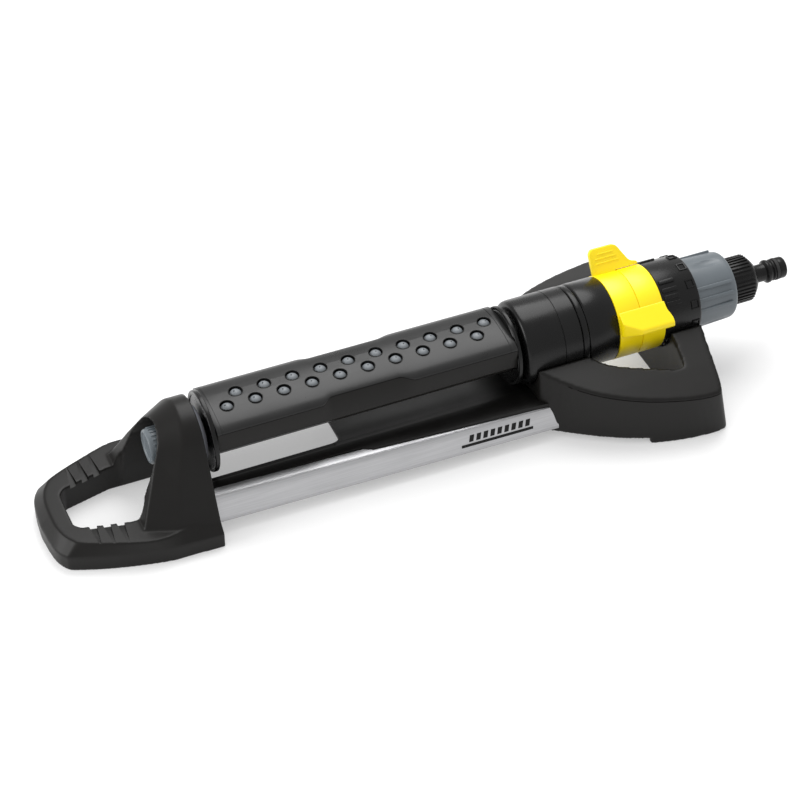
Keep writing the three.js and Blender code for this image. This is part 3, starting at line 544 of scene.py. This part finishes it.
def hand_loop():
    """The opening between the arms, and the tunnel that carries on under the arch."""
    half = [
        (FOOT_LEFT + 19.5, 0), (FOOT_LEFT + 20, 16), (FOOT_LEFT + 24, 20.5), (FOOT_LEFT + 58, 28.5),
        (FOOT_LEFT + 66, 28.5), (FOOT_LEFT + 69, 26)]
    loop = along_z(both_sides(half), FLOOR - 1, 0)
    side = [(28.5, FLOOR - 1), (25.5, ARM_TOP), (22, -4), *arc(20, 10, 90, 10)]
    return loop, along_x(mirrored(side), FOOT_LEFT + 60, FOOT_RIGHT - 20)


def grip_wells():
    """Three wedge-shaped wells in each arm, deep at the opening's edge and running out to nothing."""
    wells = []
    for i in range(3):
        x = FOOT_LEFT + 30 + 9.2 * i
        inner, outer = 20 + 2.2 * i, 42.5 + 2.4 * i
        for side in (-1, 1):
            near = [(x - 1.2, side * inner, ARM_TOP - 3.4), (x + 4.6, side * inner, ARM_TOP - 3.4),
                    (x + 4.6, side * inner, ARM_TOP + 2), (x - 1.2, side * inner, ARM_TOP + 2)]
            far = [(x + 0.6, side * outer, ARM_TOP - 0.1), (x + 2.0, side * outer, ARM_TOP - 0.1),
                   (x + 2.0, side * outer, ARM_TOP + 2), (x + 0.6, side * outer, ARM_TOP + 2)]
            wells.append(lofted([near, far]))
    return wells


def left_foot():
    lean = 0.3
    band = FOOT_RIGHT - 20
    arch = lofted([
        at_x(mirrored(arch_outline(8, ARCH_RADIUS - 8.4)), band - 17, lean + 0.12),
        at_x(mirrored(arch_outline(0, ARCH_RADIUS)), band, lean),
        at_x(mirrored(arch_outline(0, ARCH_RADIUS)), FOOT_RIGHT)])
    body, plan = arms()
    shell = united(common(arch, along_z(plan, FLOOR, ARCH_RADIUS + 1)), body)
    loop, tunnel = hand_loop()
    hollow = [(y, z - 2) for y, z in arch_outline(4, ARCH_RADIUS - 4)]
    cavity = cut(along_x(mirrored(hollow), FOOT_RIGHT - 17, FOOT_RIGHT - FOOT_WALL),
                 rod(FOOT_RIGHT - 20, FOOT_RIGHT, JOURNAL_SLEEVE))
    bore = rod(FOOT_RIGHT - 30, FOOT_RIGHT + 1, JOURNAL_BORE)
    shell = cut(shell, loop, tunnel, cavity, bore)
    softened(shell, 0.9, 6)
    shell = cut(shell, *grip_wells())
    return finished("left_foot_shell", shell, FOOT_PLASTIC, "frame", ["left_foot"], 50)


left_foot()


# ---------- right foot ----------

SEAT_BORE = 31.8


def cradle_plan(points):
    """A half plan that keeps its corner at the left point and is smooth from there on."""
    return [(CRADLE_LEFT, 0), *smooth_through(points[:-1]), points[-1]]


def cradle_plans():
    low = cradle_plan([
        (CRADLE_LEFT, 40), (CRADLE_LEFT + 22, 55.5), (CRADLE_LEFT + 44, 69), (CRADLE_LEFT + 69, 80.5),
        (CRADLE_LEFT + 99, 87.5), (CRADLE_RIGHT - 9, 88.5), (CRADLE_RIGHT - 2.5, 83.5),
        (CRADLE_RIGHT - 0.6, 70), (CRADLE_RIGHT, 30), (CRADLE_RIGHT, 0)])
    high = cradle_plan([
        (CRADLE_LEFT, 31), (CRADLE_LEFT + 22, 53), (CRADLE_LEFT + 40, 65), (CRADLE_LEFT + 66, 75),
        (CRADLE_LEFT + 94, 82.5), (CRADLE_RIGHT - 22, 85.5), (CRADLE_RIGHT - 16, 82),
        (CRADLE_RIGHT - 9, 60), (CRADLE_RIGHT, 30), (CRADLE_RIGHT, 0)])
    return low, high


def flare(inset, below=0.0):
    """The foot's outer form, or the hollow inside it when it is inset by the wall."""
    middle = CRADLE_LEFT + 85

    def shifted(plan):
        return [(x + math.copysign(inset, middle - x), max(0.5, y - inset) if y else 0) for x, y in plan]

    low, high = (both_sides(shifted(plan))[:-1] for plan in cradle_plans())
    return lofted([at_z(low, FLOOR - below), at_z(high, 10)])


def wing_roof(drop):
    """The two sloping wing tops and the ridge between them, as a prism along X."""
    half = [(95, FLOOR - 3), (95, -23 - drop), (62, -12.2 - drop), (31, -2.5 - drop), (0, 6 - drop)]
    return along_x(mirrored(half), CRADLE_LEFT - 4, CRADLE_RIGHT + 4)


def wing_opening(grow, top):
    """The window between the wings, or a wider one that leaves a wall round it."""
    half = smooth_through([
        (CRADLE_LEFT + 38, 0), (CRADLE_LEFT + 39, 25), (CRADLE_LEFT + 44, 35), (CRADLE_LEFT + 58, 45),
        (CRADLE_LEFT + 87, 56), (CRADLE_LEFT + 98, 59.5), (CRADLE_LEFT + 103, 59), (CRADLE_LEFT + 105, 55),
        (CRADLE_LEFT + 107, 33), (CRADLE_LEFT + 107.5, 0)], 3)
    grown = [(x - grow if x < CRADLE_LEFT + 80 else x + grow, y + grow if y > 0.01 else 0) for x, y in half]
    return along_z(both_sides(grown)[:-1], FLOOR - 5, top)


def right_foot():
    body = common(flare(0), wing_roof(0))
    hollow = common(flare(FOOT_WALL, 2), wing_roof(FOOT_WALL + 1))
    hollow = cut(hollow, wing_opening(FOOT_WALL, 22), rod(CRADLE_LEFT - 6, CRADLE_RIGHT + 6, 35))
    seat = rod(CRADLE_LEFT - 5, CRADLE_RIGHT + 5, SEAT_BORE, 96)
    sole = block(CRADLE_LEFT - 3, CRADLE_LEFT + 70, -99, 99, FLOOR - 4, FLOOR + 5)
    body = cut(body, wing_opening(0, 20), hollow, seat, sole)
    softened(body, 1.15, 7)
    seam_layer = cut(wing_roof(1.5), wing_roof(2.2))
    body = cut(body, cut(common(flare(-1.5), seam_layer), flare(0.8)))
    return finished(
        "right_foot_shell", body, FOOT_PLASTIC, "frame", ["right_foot"], 50)


right_foot()


# ---------- spray tube ----------

TUBE_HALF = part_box("tube_cover")[1][1] / MM
COVER_TOP = radius_of("tube_cover")
PARTING = (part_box("tube_cover")[0][2] - AXIS_HEIGHT) / MM
NOZZLE_RADIUS = 4.15
NOZZLE_SEAT = NOZZLE_RADIUS + 0.75
FLANK_START, FLANK_END = 76.5, 148  # where the lower shell climbs up the side of the cover


def climb(x):
    """How far the parting line has climbed, from 0 near the tube's ends to 1 along its middle."""
    share = max(0.0, min(1.0, (x - FLANK_START) / 9, (FLANK_END - x) / 12))
    return share * share * (3 - 2 * share)


def between(low, high, share):
    return tuple(a + (b - a) * share for a, b in zip(low, high))


def cover_section(x, grow=0.0):
    """The cover's outline across the tube, from the parting line over the crest."""
    share, half, top = climb(x), TUBE_HALF + grow, COVER_TOP + grow
    return mirrored([
        between((half, PARTING), (half - 4.0, PARTING + 2.9), share),
        between((half - 0.3, PARTING + 1.1), (half - 4.2, PARTING + 3.05), share),
        between((half - 1.4, PARTING + 2), (half - 4.8, PARTING + 3.3), share),
        (half - 6, top - 2.4), (half - 12, top - 1.05), (half - 18, top - 0.3), (0, top)])


def trough_section(x):
    """The lower shell's outline across the tube, from its rim down to the keel."""
    share = climb(x)
    rim = between((TUBE_HALF, PARTING - 0.4), (TUBE_HALF - 3.9, PARTING + 2.5), share)
    return mirrored_down([rim, (TUBE_HALF, 1.6), (TUBE_HALF - 0.6, 0.6), (17, -9), (10, -12)])


def climbing(section):
    """A section drawn along the tube, with rings close together where the parting line climbs."""
    stations = [0, FLANK_START]
    stations += [FLANK_START + 1.5 * k for k in range(1, 7)]
    stations += [FLANK_END - 12 + 2 * k for k in range(7)] + [TUBE_LENGTH]
    return lofted([at_x(section(x), x) for x in stations])


def nozzle_places():
    """Each tip's node name, with its place along and across the tube."""
    for row in ("front", "rear"):
        for i in range(1, 11):
            name = f"nozzle_{row}_{i}"
            low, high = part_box(name)
            x = ((low[0] + high[0]) / 2 - TUBE_LEFT) / MM
            yield name, x, (low[1] + high[1]) / 2 / MM


def upright(x, y, z0, z1, radius, steps=32):
    """A rod that stands on end."""
    return moved(rod(z0, z1, radius, steps), (x, y, 0), -90, "Y")


def tube_cover():
    inside = [
        (19.4, PARTING - 3), (19.2, 17.4), (14, COVER_TOP - 3.4), (8, COVER_TOP - 2.6), (0, COVER_TOP - 2.3)]
    shell = cut(climbing(cover_section), along_x(mirrored(inside), -2, TUBE_LENGTH + 2))
    bevelled(shell, 0.3, 2, 25)
    for x in (3.2, TUBE_LENGTH - 5):
        line = along_x(cover_section(0, 2), x, x + 0.45)
        shell = cut(shell, cut(line, along_x(cover_section(0, -0.35), x - 1, x + 1.5)))
    seats, rims = [], []
    for _, x, y in nozzle_places():
        seats.append(upright(x, y, PARTING - 1, COVER_TOP + 3, NOZZLE_SEAT))
        rim = turned([
            (COVER_TOP - 1.5, NOZZLE_SEAT), (COVER_TOP - 1.5, NOZZLE_RADIUS + 1.15),
            (COVER_TOP + 0.2, NOZZLE_RADIUS + 1.15), (COVER_TOP + 0.3, NOZZLE_RADIUS + 0.95),
            (COVER_TOP + 0.2, NOZZLE_SEAT)], 32)
        rims.append(moved(rim, (x, y, 0), -90, "Y"))
    shell = grouped(cut(shell, *seats), *rims)
    return finished("spray_cover", shell, TUBE_PLASTIC, "spray_tube", ["tube_cover"], 24)


def tube_body():
    inside = mirrored_down([(19.4, PARTING + 5), (19.4, 2.4), (15.8, -6.6), (9.4, -9.5)])
    trough = cut(climbing(trough_section), along_x(inside, -2, TUBE_LENGTH + 2))
    bevelled(trough, 0.35, 2, 25)
    return finished("spray_trough", trough, TROUGH_PLASTIC, "spray_tube", ["tube_body"], 24)


def nozzle_head():
    """A domed silicone tip on a stem."""
    base, top = COVER_TOP - 1.7, COVER_TOP + 0.65
    ball = (NOZZLE_RADIUS ** 2 + (top - base) ** 2) / (2 * (top - base))
    sweep = math.degrees(math.asin(NOZZLE_RADIUS / ball))
    dome = arc(ball, 0, sweep, 10, (top - ball, 0))
    profile = [(PARTING + 0.2, 0), *dome, (base - 0.5, NOZZLE_RADIUS), (PARTING + 0.2, NOZZLE_RADIUS)]
    return moved(turned(profile, 32), turn=-90, axis="Y")


def nozzles():
    """Twenty tips; the pin-holes lean outwards more towards the tube's ends."""
    head = nozzle_head()
    steepest = 24
    for name, x, y in nozzle_places():
        tip = copy_of(head)
        lean = steepest * (x - TUBE_LENGTH / 2) / (TUBE_LENGTH / 2)
        mouth = (3.2 * math.sin(math.radians(lean)), 0, COVER_TOP)
        tip = cut(tip, moved(upright(0, 0, -2, 3, 0.6, 12), mouth, lean, "Y"))
        moved(tip, (x, y, 0))
        finished(name + "_tip", tip, NOZZLE_PLASTIC, "spray_tube", [name], 40)
    bpy.data.objects.remove(head)


def thrust_ring():
    """A washer with a wide chamfer towards the tube."""
    x0, x1, r = left_of("thrust_ring"), right_of("thrust_ring"), radius_of("thrust_ring")
    ring = turned([
        (x0, 7.6), (x0, r - 0.3), (x0 + 0.3, r), (x0 + 0.8, r - 0.1), (x1 - 0.2, r - 2.4), (x1, r - 2.8),
        (x1, 7.6)])
    return finished("thrust_washer", ring, RING_PLASTIC, "frame", ["thrust_ring"], 40)


FLANGE_REACH = 3.3  # how far the end discs stand out from the tube
FLANGE_STEPS = 112


def left_flange():
    r = radius_of("left_flange")
    x0, x1 = -FLANGE_REACH, -GAP
    profile = [
        (FOOT_RIGHT - 21.5, 6), (FOOT_RIGHT - 21.5, 9), (x0 + 0.6, 9), (x0 + 0.6, r - 3.4), (x0, r - 2.8),
        (x0 - 0.5, r - 0.6), (x0 + 0.1, r), (x1 - 0.4, r), (x1, r - 0.5), (x1, r - 2.6), (x1 - 0.8, r - 3.2),
        (x1 - 0.8, 6)]
    disc = bevelled(turned(profile, FLANGE_STEPS), 0.25, 2, 30)
    return finished("tube_end_flange", disc, CASE_PLASTIC, "spray_tube", ["left_flange"], 40)


def right_flange():
    r = radius_of("left_flange")
    x0, x1 = TUBE_LENGTH + GAP, TUBE_LENGTH + FLANGE_REACH
    shaft_end = right_of("drive_shaft")
    profile = [
        (x0, 4.5), (x0, r - 3.2), (x0 + 0.8, r - 2.6), (x0, r - 0.6), (x0 + 0.5, r), (x1 - 0.4, r),
        (x1, r - 0.5), (x1, 7), (shaft_end, 7), (shaft_end, 4.5)]
    disc = bevelled(turned(profile, FLANGE_STEPS), 0.25, 2, 30)
    return finished(
        "tube_drive_flange", disc, CASE_PLASTIC, "spray_tube", ["drive_shaft"], 40)


tube_cover()
tube_body()
nozzles()
thrust_ring()
left_flange()
right_flange()


# ---------- end plug ----------

def end_plug():
    """A screw plug with a fluted head."""
    x0 = left_of("end_plug")
    r = radius_of("end_plug")
    x1, shank = right_of("end_plug"), 5.7
    head = bevelled(turned([
        (x0 + 0.9, 0), (x0 + 0.9, r - 3.2), (x0, r - 2.6), (x0, r - 1.2), (x0 + 1.4, r - 0.4),
        (x0 + 11.5, r - 0.4), (x0 + 11.5, shank), (x1, shank), (x1, 0)], 72), 0.35, 3, 30)
    rib = bevelled(block(x0 + 3.2, x0 + 11.3, -0.8, 0.8, r - 1.4, r + 0.35), 0.35, 2)
    ribs = [moved(copy_of(rib), turn=i * 15) for i in range(24)]
    bpy.data.objects.remove(rib)
    return finished(
        "end_plug_fluted", grouped(head, *ribs), KNOB_PLASTIC, "end_plug", ["end_plug"], 40)


end_plug()


# ---------- motor housing ----------

def groove(x, radius, width=0.5, depth=0.45):
    """The points of a fine seam in a profile that runs towards +X."""
    floor = radius - depth
    return [(x - width, radius), (x - width * 0.4, floor), (x + width * 0.4, floor), (x + width, radius)]


def motor_housing():
    r = radius_of("motor_housing")
    bore, shaft_hole = r - 2.6, 7.3
    seam = HOUSING_LEFT + 29.6
    profile = [
        (HOUSING_LEFT, shaft_hole), (HOUSING_LEFT, r - 5), *smooth_through([
            (HOUSING_LEFT, r - 4.6), (HOUSING_LEFT + 0.9, r - 2), (HOUSING_LEFT + 2.6, r - 0.5),
            (HOUSING_LEFT + 5.5, r)]),
        *groove(seam, r), (HOUSING_RIGHT - 0.8, r), (HOUSING_RIGHT, r - 0.7), (HOUSING_RIGHT, bore),
        (HOUSING_LEFT + 3, bore), (HOUSING_LEFT + 3, shaft_hole)]
    return finished(
        "motor_case_front", turned(profile, ROUND_STEPS), CASE_PLASTIC, "frame",
        ["motor_housing"], 40)


def lock_ring():
    x0, x1, r = left_of("lock_ring"), right_of("lock_ring"), radius_of("motor_housing")
    profile = [
        (x0, r - 2.5), (x0, r - 1.1), (x0 + 0.7, r - 0.4), (x0 + 1.3, r - 0.25), (x1 - 1.3, r - 0.25),
        (x1 - 0.7, r - 0.4), (x1, r - 1.1), (x1, r - 2.5)]
    return finished(
        "motor_lock_ring", turned(profile, ROUND_STEPS), CASE_PLASTIC, "frame",
        ["lock_ring"], 50)


def rear_case():
    x0, x1, r = left_of("rear_case"), right_of("rear_case"), radius_of("rear_case")
    bore, sleeve = 25.9, 28.4
    step = left_of("range_ring_left") - GAP
    profile = [
        (x0, bore), (x0, r - 0.9), (x0 + 0.9, r - 0.1), (x0 + 1.6, r), (step - 0.6, r), (step, r - 0.5),
        (step, sleeve), (x1, sleeve), (x1, bore)]
    return finished(
        "motor_case_rear", turned(profile, ROUND_STEPS), CASE_PLASTIC, "frame",
        ["rear_case"], 40)


motor_housing()
lock_ring()
rear_case()


# ---------- range rings ----------

RING_RADIUS = 31.7
RING_WIDTH = 18.3
LEFT_RING = left_of("range_ring_left")
RIGHT_RING = LEFT_RING + RING_WIDTH + 0.3
TABS_LEFT = LEFT_RING + 0.3
TABS_RIGHT = RIGHT_RING + RING_WIDTH


def ring_band(x0):
    x1 = x0 + RING_WIDTH
    r = RING_RADIUS
    return turned([
        (x0, r - 3), (x0, r - 0.4), (x0 + 0.15, r - 0.12), (x0 + 0.45, r), (x1 - 0.45, r),
        (x1 - 0.15, r - 0.12), (x1, r - 0.4), (x1, r - 3)], ROUND_STEPS)


def ring_lug(x0, turn):
    """The stop inside a ring, which reaches the lever."""
    return moved(block(x0 + 6, x0 + 12, -1.5, 1.5, 19, 29.5), turn=turn - 90)


def left_range_ring():
    """The rear tab is a radial plate that also reaches over the right ring."""
    r = RING_RADIUS
    half_thickness = 1.9
    outline = rounded([
        (TABS_LEFT, r - 1.2), (TABS_RIGHT, r - 1.2), (TABS_RIGHT, r + 2.7), (TABS_RIGHT - 6, r + 4.3),
        (TABS_RIGHT - 14, r + 17.8), (TABS_RIGHT - 17, r + 19.3), (TABS_LEFT + 2.5, r + 19.3),
        (TABS_LEFT, r + 16.3)], 2.6)
    tab = bevelled(along_y(outline, -half_thickness, half_thickness), 0.8, 4, 40)
    lines = []
    for i, (start, end) in enumerate(((6, 19), (4, 21), (3.5, 22.5))):
        height = r + 14.5 - 3.4 * i
        line = block(TABS_LEFT + start, TABS_LEFT + end, -2.35, -1.5, height - 0.55, height + 0.55)
        lines.append(bevelled(line, 0.3, 3))
    tab = grouped(tab, *lines)
    moved(tab, turn=-34)
    over = rod(RIGHT_RING - GAP, TABS_RIGHT + 5, r + 0.6, 96)
    tab = cut(tab, over, rod(TABS_LEFT - 3, TABS_RIGHT + 3, r - 2, 96))
    ring = grouped(ring_band(LEFT_RING), tab, ring_lug(LEFT_RING, -135))
    return finished(
        "range_ring_left_fine", ring, YELLOW_PLASTIC, "left_ring", ["range_ring_left"], 40)


def right_range_ring():
    """The front tab is a sloping shelf that reaches over the left ring."""
    r = RING_RADIUS
    section = rounded([
        (7 - r, r - 7.5), (-r - 8.4, r - 16.8), (-r - 9.2, r - 20.6), (2.5 - r, r - 26.5)], 1.4, 3)
    edge = -r - 9.6
    plan = rounded([
        (TABS_LEFT, -12), (TABS_LEFT, -r - 1.6), (TABS_LEFT + 15, edge), (TABS_RIGHT + 2, edge),
        (TABS_RIGHT + 2, -r - 4.3), (TABS_RIGHT - 0.2, 1 - r), (TABS_RIGHT - 0.2, -12)], 1.6, 3)
    tab = common(along_x(section, TABS_LEFT - 2, TABS_RIGHT + 5), along_z(plan, -2, 40))
    softened(tab, 0.4, 4)
    over = rod(TABS_LEFT - 6, RIGHT_RING, r + 0.6, 96)
    tab = cut(tab, over, rod(TABS_LEFT - 8, TABS_RIGHT + 8, r - 2, 96))
    ring = grouped(ring_band(RIGHT_RING), tab, ring_lug(RIGHT_RING, -45))
    return finished(
        "range_ring_right_fine", ring, YELLOW_PLASTIC, "right_ring", ["range_ring_right"],
        40)


left_range_ring()
right_range_ring()


# ---------- hose end ----------

def around(thing, angles):
    """Copies of a piece drawn on top of the barrel, turned to the given angles above the front."""
    copies = [moved(copy_of(thing), turn=90 - angle) for angle in angles]
    bpy.data.objects.remove(thing)
    return copies


def grip_bar(x0, x1, radius, width, height):
    """A low bar with a round right end that hugs the barrel."""
    end = arc(width / 2, -90, 90, 8, (x1 - width / 2, 0))
    bar = along_z([(x0, -width / 2), *end, (x0, width / 2)], radius - 1.2, radius + height)
    return bevelled(bar, min(height, width) * 0.42, 3, 40)


def marker(x0, x1, radius, width):
    """A raised rectangle outline."""
    frame_box = block(x0, x1, -width / 2, width / 2, radius - 1.2, radius + 0.6)
    hole = block(x0 + 0.8, x1 - 0.8, 0.8 - width / 2, width / 2 - 0.8, radius - 2, radius + 2)
    return bevelled(cut(frame_box, hole), 0.15, 2)


def scale_collar():
    x0, x1, r = left_of("scale_collar"), right_of("scale_collar"), radius_of("scale_collar")
    bore = 28.7
    body = turned([
        (x0, bore), (x0, r - 0.5), (x0 + 0.5, r), (x1 - 1.4, r), (x1 - 0.4, r - 0.4), (x1, r - 1.1),
        (x1, bore)], ROUND_STEPS)
    bars = []
    for angle in (68, 55.5, 46, 37, -20, -32, 150, 138, 126):
        bars += around(grip_bar(x0 + 2, x0 + 14.5, r, 3.2, 1.1), [angle])
    marks = []
    for angle in (84, 56, 27, -2, 112, 140):
        marks += around(marker(x1 - 8, x1 - 1.8, r - 0.1, 6.6), [angle])
    body = grouped(body, *bars, *marks)
    return finished(
        "scale_collar_fine", body, CASE_PLASTIC, "frame", ["scale_collar"], 40)


def flow_knob():
    x0, x1, r = right_of("scale_collar") + GAP, right_of("flow_knob"), radius_of("flow_knob")
    inner, bore, hub = left_of("flow_knob"), 13.5, 16
    body = turned([
        (inner, bore), (x1, bore), (x1, r - 5.5), *smooth_through([
            (x1 - 0.1, r - 4.6), (x1 - 0.9, r - 2.6), (x1 - 2.6, r - 1.4), (x1 - 5, r - 1.1)], 3),
        (x0 + 0.5, r), (x0, r - 0.5), (x0, r - 2.6), (x1 - 5, r - 4.2), (x1 - 5, hub),
        (inner, hub)], ROUND_STEPS)
    half_length, half_height = 23, 9
    leaf = [(half_length * math.cos(math.radians(a)), half_height * math.sin(math.radians(a)))
            for a in range(180, -1, -10)]
    leaf = moved(turned(leaf, 48), (x0 + 19, 0, r + 7.3))
    body = cut(body, *around(leaf, [87 + 120 * i for i in range(3)]))
    bars = []
    for angle in (9, 27, 45, 129, 147, 165, 249, 267, 285):
        bars += around(grip_bar(x0 + 0.8, x1 - 5, r - 0.5, 2.6, 1.15), [angle])
    body = grouped(body, *bars)
    return finished("flow_knob_fine", body, KNOB_PLASTIC, "flow_knob", ["flow_knob"], 40)


def hose_adapter():
    x0, x1, r = left_of("hose_adapter"), right_of("hose_adapter"), radius_of("hose_adapter")
    nut_end = x0 + 21
    thread = x0 + 19
    profile = [
        (x0, 13.5), (thread, 13.5), (thread, 4.4), (x1, 4.4), (x1, 7.2), (x1 - 0.7, 8.0), (x1 - 1.6, 8.2),
        (x1 - 5.6, 8.2), (x1 - 6.1, 7.7), (x1 - 6.4, 6.4), (x1 - 8.8, 6.4), (x1 - 9.1, 7.8), (x1 - 9.5, 8.2),
        (x1 - 10.6, 8.2), (x1 - 11.4, 7.0), (x1 - 12.3, 6.9), (x1 - 12.9, 8.4), (x1 - 13.6, 8.8),
        (x1 - 15.4, 8.8), (x1 - 16.2, 8.2), (x1 - 17.2, 6.75), (nut_end + 2.2, 6.75), (nut_end + 1.7, 7.3),
        (nut_end + 1.4, 12), (nut_end + 0.2, 13.5), (nut_end - 2.4, r - 1.6), (nut_end - 4.6, r - 0.9),
        (x0 + 1.2, r - 0.9), (x0, r - 2)]
    body = bevelled(turned(profile[::-1], 96), 0.2, 2, 30)
    rib = bevelled(block(x0 + 0.9, nut_end - 3.6, -0.75, 0.75, r - 2, r), 0.3, 2)
    ribs = around(rib, [i * 10 for i in range(36)])
    return finished(
        "hose_adapter_fine", grouped(body, *ribs), CASE_PLASTIC, "frame", ["hose_adapter"],
        35)


scale_collar()
flow_knob()
hose_adapter()


# ---------- base ----------

RAIL_START, RAIL_END = FOOT_RIGHT + GAP, CRADLE_LEFT + 14
BEAM_TOP = -27.5
RAIL_FOOT = -49.2


def rail_crease(share):
    """Where a strip's crease lies at a share of its length: its distance from the middle, and its drop."""
    return 36.5 + 5.6 * share, 3.3 * share


def rail_outside(y, drop):
    """The outer face of a strip, from the crease down."""
    return [(y, -29 - drop), (y + 1.7, -33 - drop), (y + 4.0, -40.5 - drop), (y + 5.2, -46),
            (y + 5.4, RAIL_FOOT)]


def rail_section(y, drop):
    """One aluminium strip, from its inner top edge over the crease and down the outer face."""
    inner = [
        (y + 3.9, RAIL_FOOT), (y + 3.6, -46), (y + 2.4, -40.5 - drop), (y, -33 - drop),
        (y - 1.4, -30.5 - drop)]
    crease = [
        (y - 1.1, -28.65 - drop), (y - 0.9, -29.1 - drop), (y - 0.5, -29.15 - drop),
        (y - 0.35, -28.8 - drop)]
    return [(y - 7, -27.6 - drop), *crease, *smooth_through(rail_outside(y, drop)), *inner,
            (y - 7, -29.1 - drop)]


def rail_face(x, z):
    """How far the strip's outer face stands from the middle plane."""
    face = rail_outside(*rail_crease((x - RAIL_START) / (RAIL_END - RAIL_START)))
    for (y0, z0), (y1, z1) in zip(face, face[1:]):
        if z1 <= z <= z0:
            return y0 + (y1 - y0) * (z0 - z) / (z0 - z1)
    return face[-1][0]


def rails():
    for side, name in ((-1, "front"), (1, "rear")):
        sections = [[(side * y, z) for y, z in rail_section(*rail_crease(share))] for share in (0, 1)]
        strip = lofted([at_x(sections[0], RAIL_START), at_x(sections[1], RAIL_END)])
        bevelled(strip, 0.25, 2, 25)
        finished(f"{name}_strip", strip, RAIL_METAL, "frame", [f"{name}_rail"], 20)


def base_frame():
    """Two beams that run into a shallow dished tray at the motor end."""
    right = CRADLE_LEFT + 5
    tray_left = CRADLE_LEFT - 146
    dish_half, dish_depth = 30.5, 4.6
    dish = []
    for k in range(8, -1, -1):
        depth = dish_depth * math.cos(math.pi * k / 12) if k < 6 else 0
        dish.append((dish_half * k / 8, BEAM_TOP - 0.6 - depth))
    section = mirrored([(45, BEAM_TOP - 0.9), *dish])
    section += [(-45, BEAM_TOP - 7.5), (45, BEAM_TOP - 7.5)]
    slab = along_x(section, RAIL_START, right)
    rear_edge = smooth_through([
        (RAIL_START, dish_half), (60, 30.7), (98, 31), (104, 32), (110, 34.4), (118, 35.4), (190, 38.6),
        (right, 41)])
    front_edge = [(x, -y) for x, y in rear_edge]
    slab = common(slab, along_z([*front_edge, *rear_edge[::-1]], -60, 0))
    window_half = 17
    window = along_z(rounded([
        (RAIL_START - 5, -window_half), (tray_left, -window_half), (tray_left, window_half),
        (RAIL_START - 5, window_half)], 9, 6), -60, 0)
    slab = cut(slab, window)
    ledges = []
    for side in (-1, 1):
        near, far = sorted((side * 16, side * 21.5))
        ledges.append(block(RAIL_START - 2, tray_left - 6, near, far, BEAM_TOP - 2.2, BEAM_TOP + 4))
    slab = cut(slab, *ledges)
    bevelled(slab, 0.5, 2, 30)
    return finished("base_bar", slab, BASE_PLASTIC, "frame", ["base_frame"], 30)


def printed_mark():
    """A plain printed device on the front strip: a row of slanted strokes over a bar."""
    proud, sunk = 0.12, 0.5

    def patch(x0, x1, low, high, slant):
        corners = [(x0, low), (x1, low), (x1 + slant, high), (x0 + slant, high)]
        out = [(x, -rail_face(x, z) - proud, z) for x, z in corners]
        back = [(x, -rail_face(x, z) + sunk, z) for x, z in corners]
        return lofted([out, back])

    bar = patch(175, 231, -43.9, -41.9, 0.3)
    strokes = []
    for i in range(9):
        start = 181 + 5.5 * i
        strokes.append(patch(start, start + 3.4, -40.6, -35.6, 1.2))
    mark = grouped(bar, *strokes)
    return finished("printed_mark", mark, MARK_INK, "frame", [], 20)


rails()
base_frame()
printed_mark()


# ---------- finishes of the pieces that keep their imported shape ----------

FINISHES = {
    "natural_plastic": NATURAL_PLASTIC, "seal_rubber": SEAL_RUBBER, "bright_steel": BRIGHT_STEEL,
    "black_plastic": CASE_PLASTIC,
}
for part in frame["record"]["subparts"]:
    node = frame["nodes"][part["node"]]
    if not node.hide_render:
        node.data.materials.clear()
        node.data.materials.append(FINISHES[part["material_slot"]])


# ---------- camera, floor and light ----------

def stage():
    bpy.ops.mesh.primitive_plane_add(size=8)
    floor = bpy.context.view_layer.objects.active
    floor.name = "floor"
    material = bpy.data.materials.new("floor_paint")
    material.use_nodes = True
    shader = material.node_tree.nodes["Principled BSDF"]
    shader.inputs["Base Color"].default_value = (0.64, 0.64, 0.64, 1)
    shader.inputs["Emission Color"].default_value = (1, 1, 1, 1)
    shader.inputs["Emission Strength"].default_value = 0.36
    shader.inputs["Roughness"].default_value = 0.9
    shader.inputs["Specular IOR Level"].default_value = 0.1
    floor.data.materials.append(material)
    world = bpy.data.worlds.new("studio")
    world.use_nodes = True
    world.node_tree.nodes["Background"].inputs["Color"].default_value = (1, 1, 1, 1)
    world.node_tree.nodes["Background"].inputs["Strength"].default_value = 0.72
    bpy.context.scene.world = world


def area_light(name, place, target, size, energy):
    data = bpy.data.lights.new(name, "AREA")
    data.shape = "DISK"
    data.size = size
    data.energy = energy
    lamp = bpy.data.objects.new(name, data)
    bpy.context.collection.objects.link(lamp)
    lamp.location = place
    lamp.rotation_euler = (Vector(target) - Vector(place)).to_track_quat("-Z", "Y").to_euler()


def camera():
    """Looks down on the sprinkler from the front left."""
    azimuth, elevation, distance = math.radians(-23.17), math.radians(42.17), 1.6403
    target = Vector((-0.02125, 0, 0.0341))
    back = Vector((math.sin(azimuth) * math.cos(elevation), -math.cos(azimuth) * math.cos(elevation),
                   math.sin(elevation)))
    data = bpy.data.cameras.new("camera")
    data.lens = 102.6
    data.sensor_width = 36
    view = bpy.data.objects.new("camera", data)
    bpy.context.collection.objects.link(view)
    view.location = target + back * distance
    view.rotation_euler = (-back).to_track_quat("-Z", "Y").to_euler()
    bpy.context.scene.camera = view


stage()
area_light("softbox_above", (0.25, 0.55, 1.1), (0, 0, 0), 1.1, 14)
area_light("softbox_left", (-1.35, 0.15, 0.5), (-0.1, 0, 0.03), 0.9, 10)
camera()
bpy.context.scene.view_settings.view_transform = "Standard"
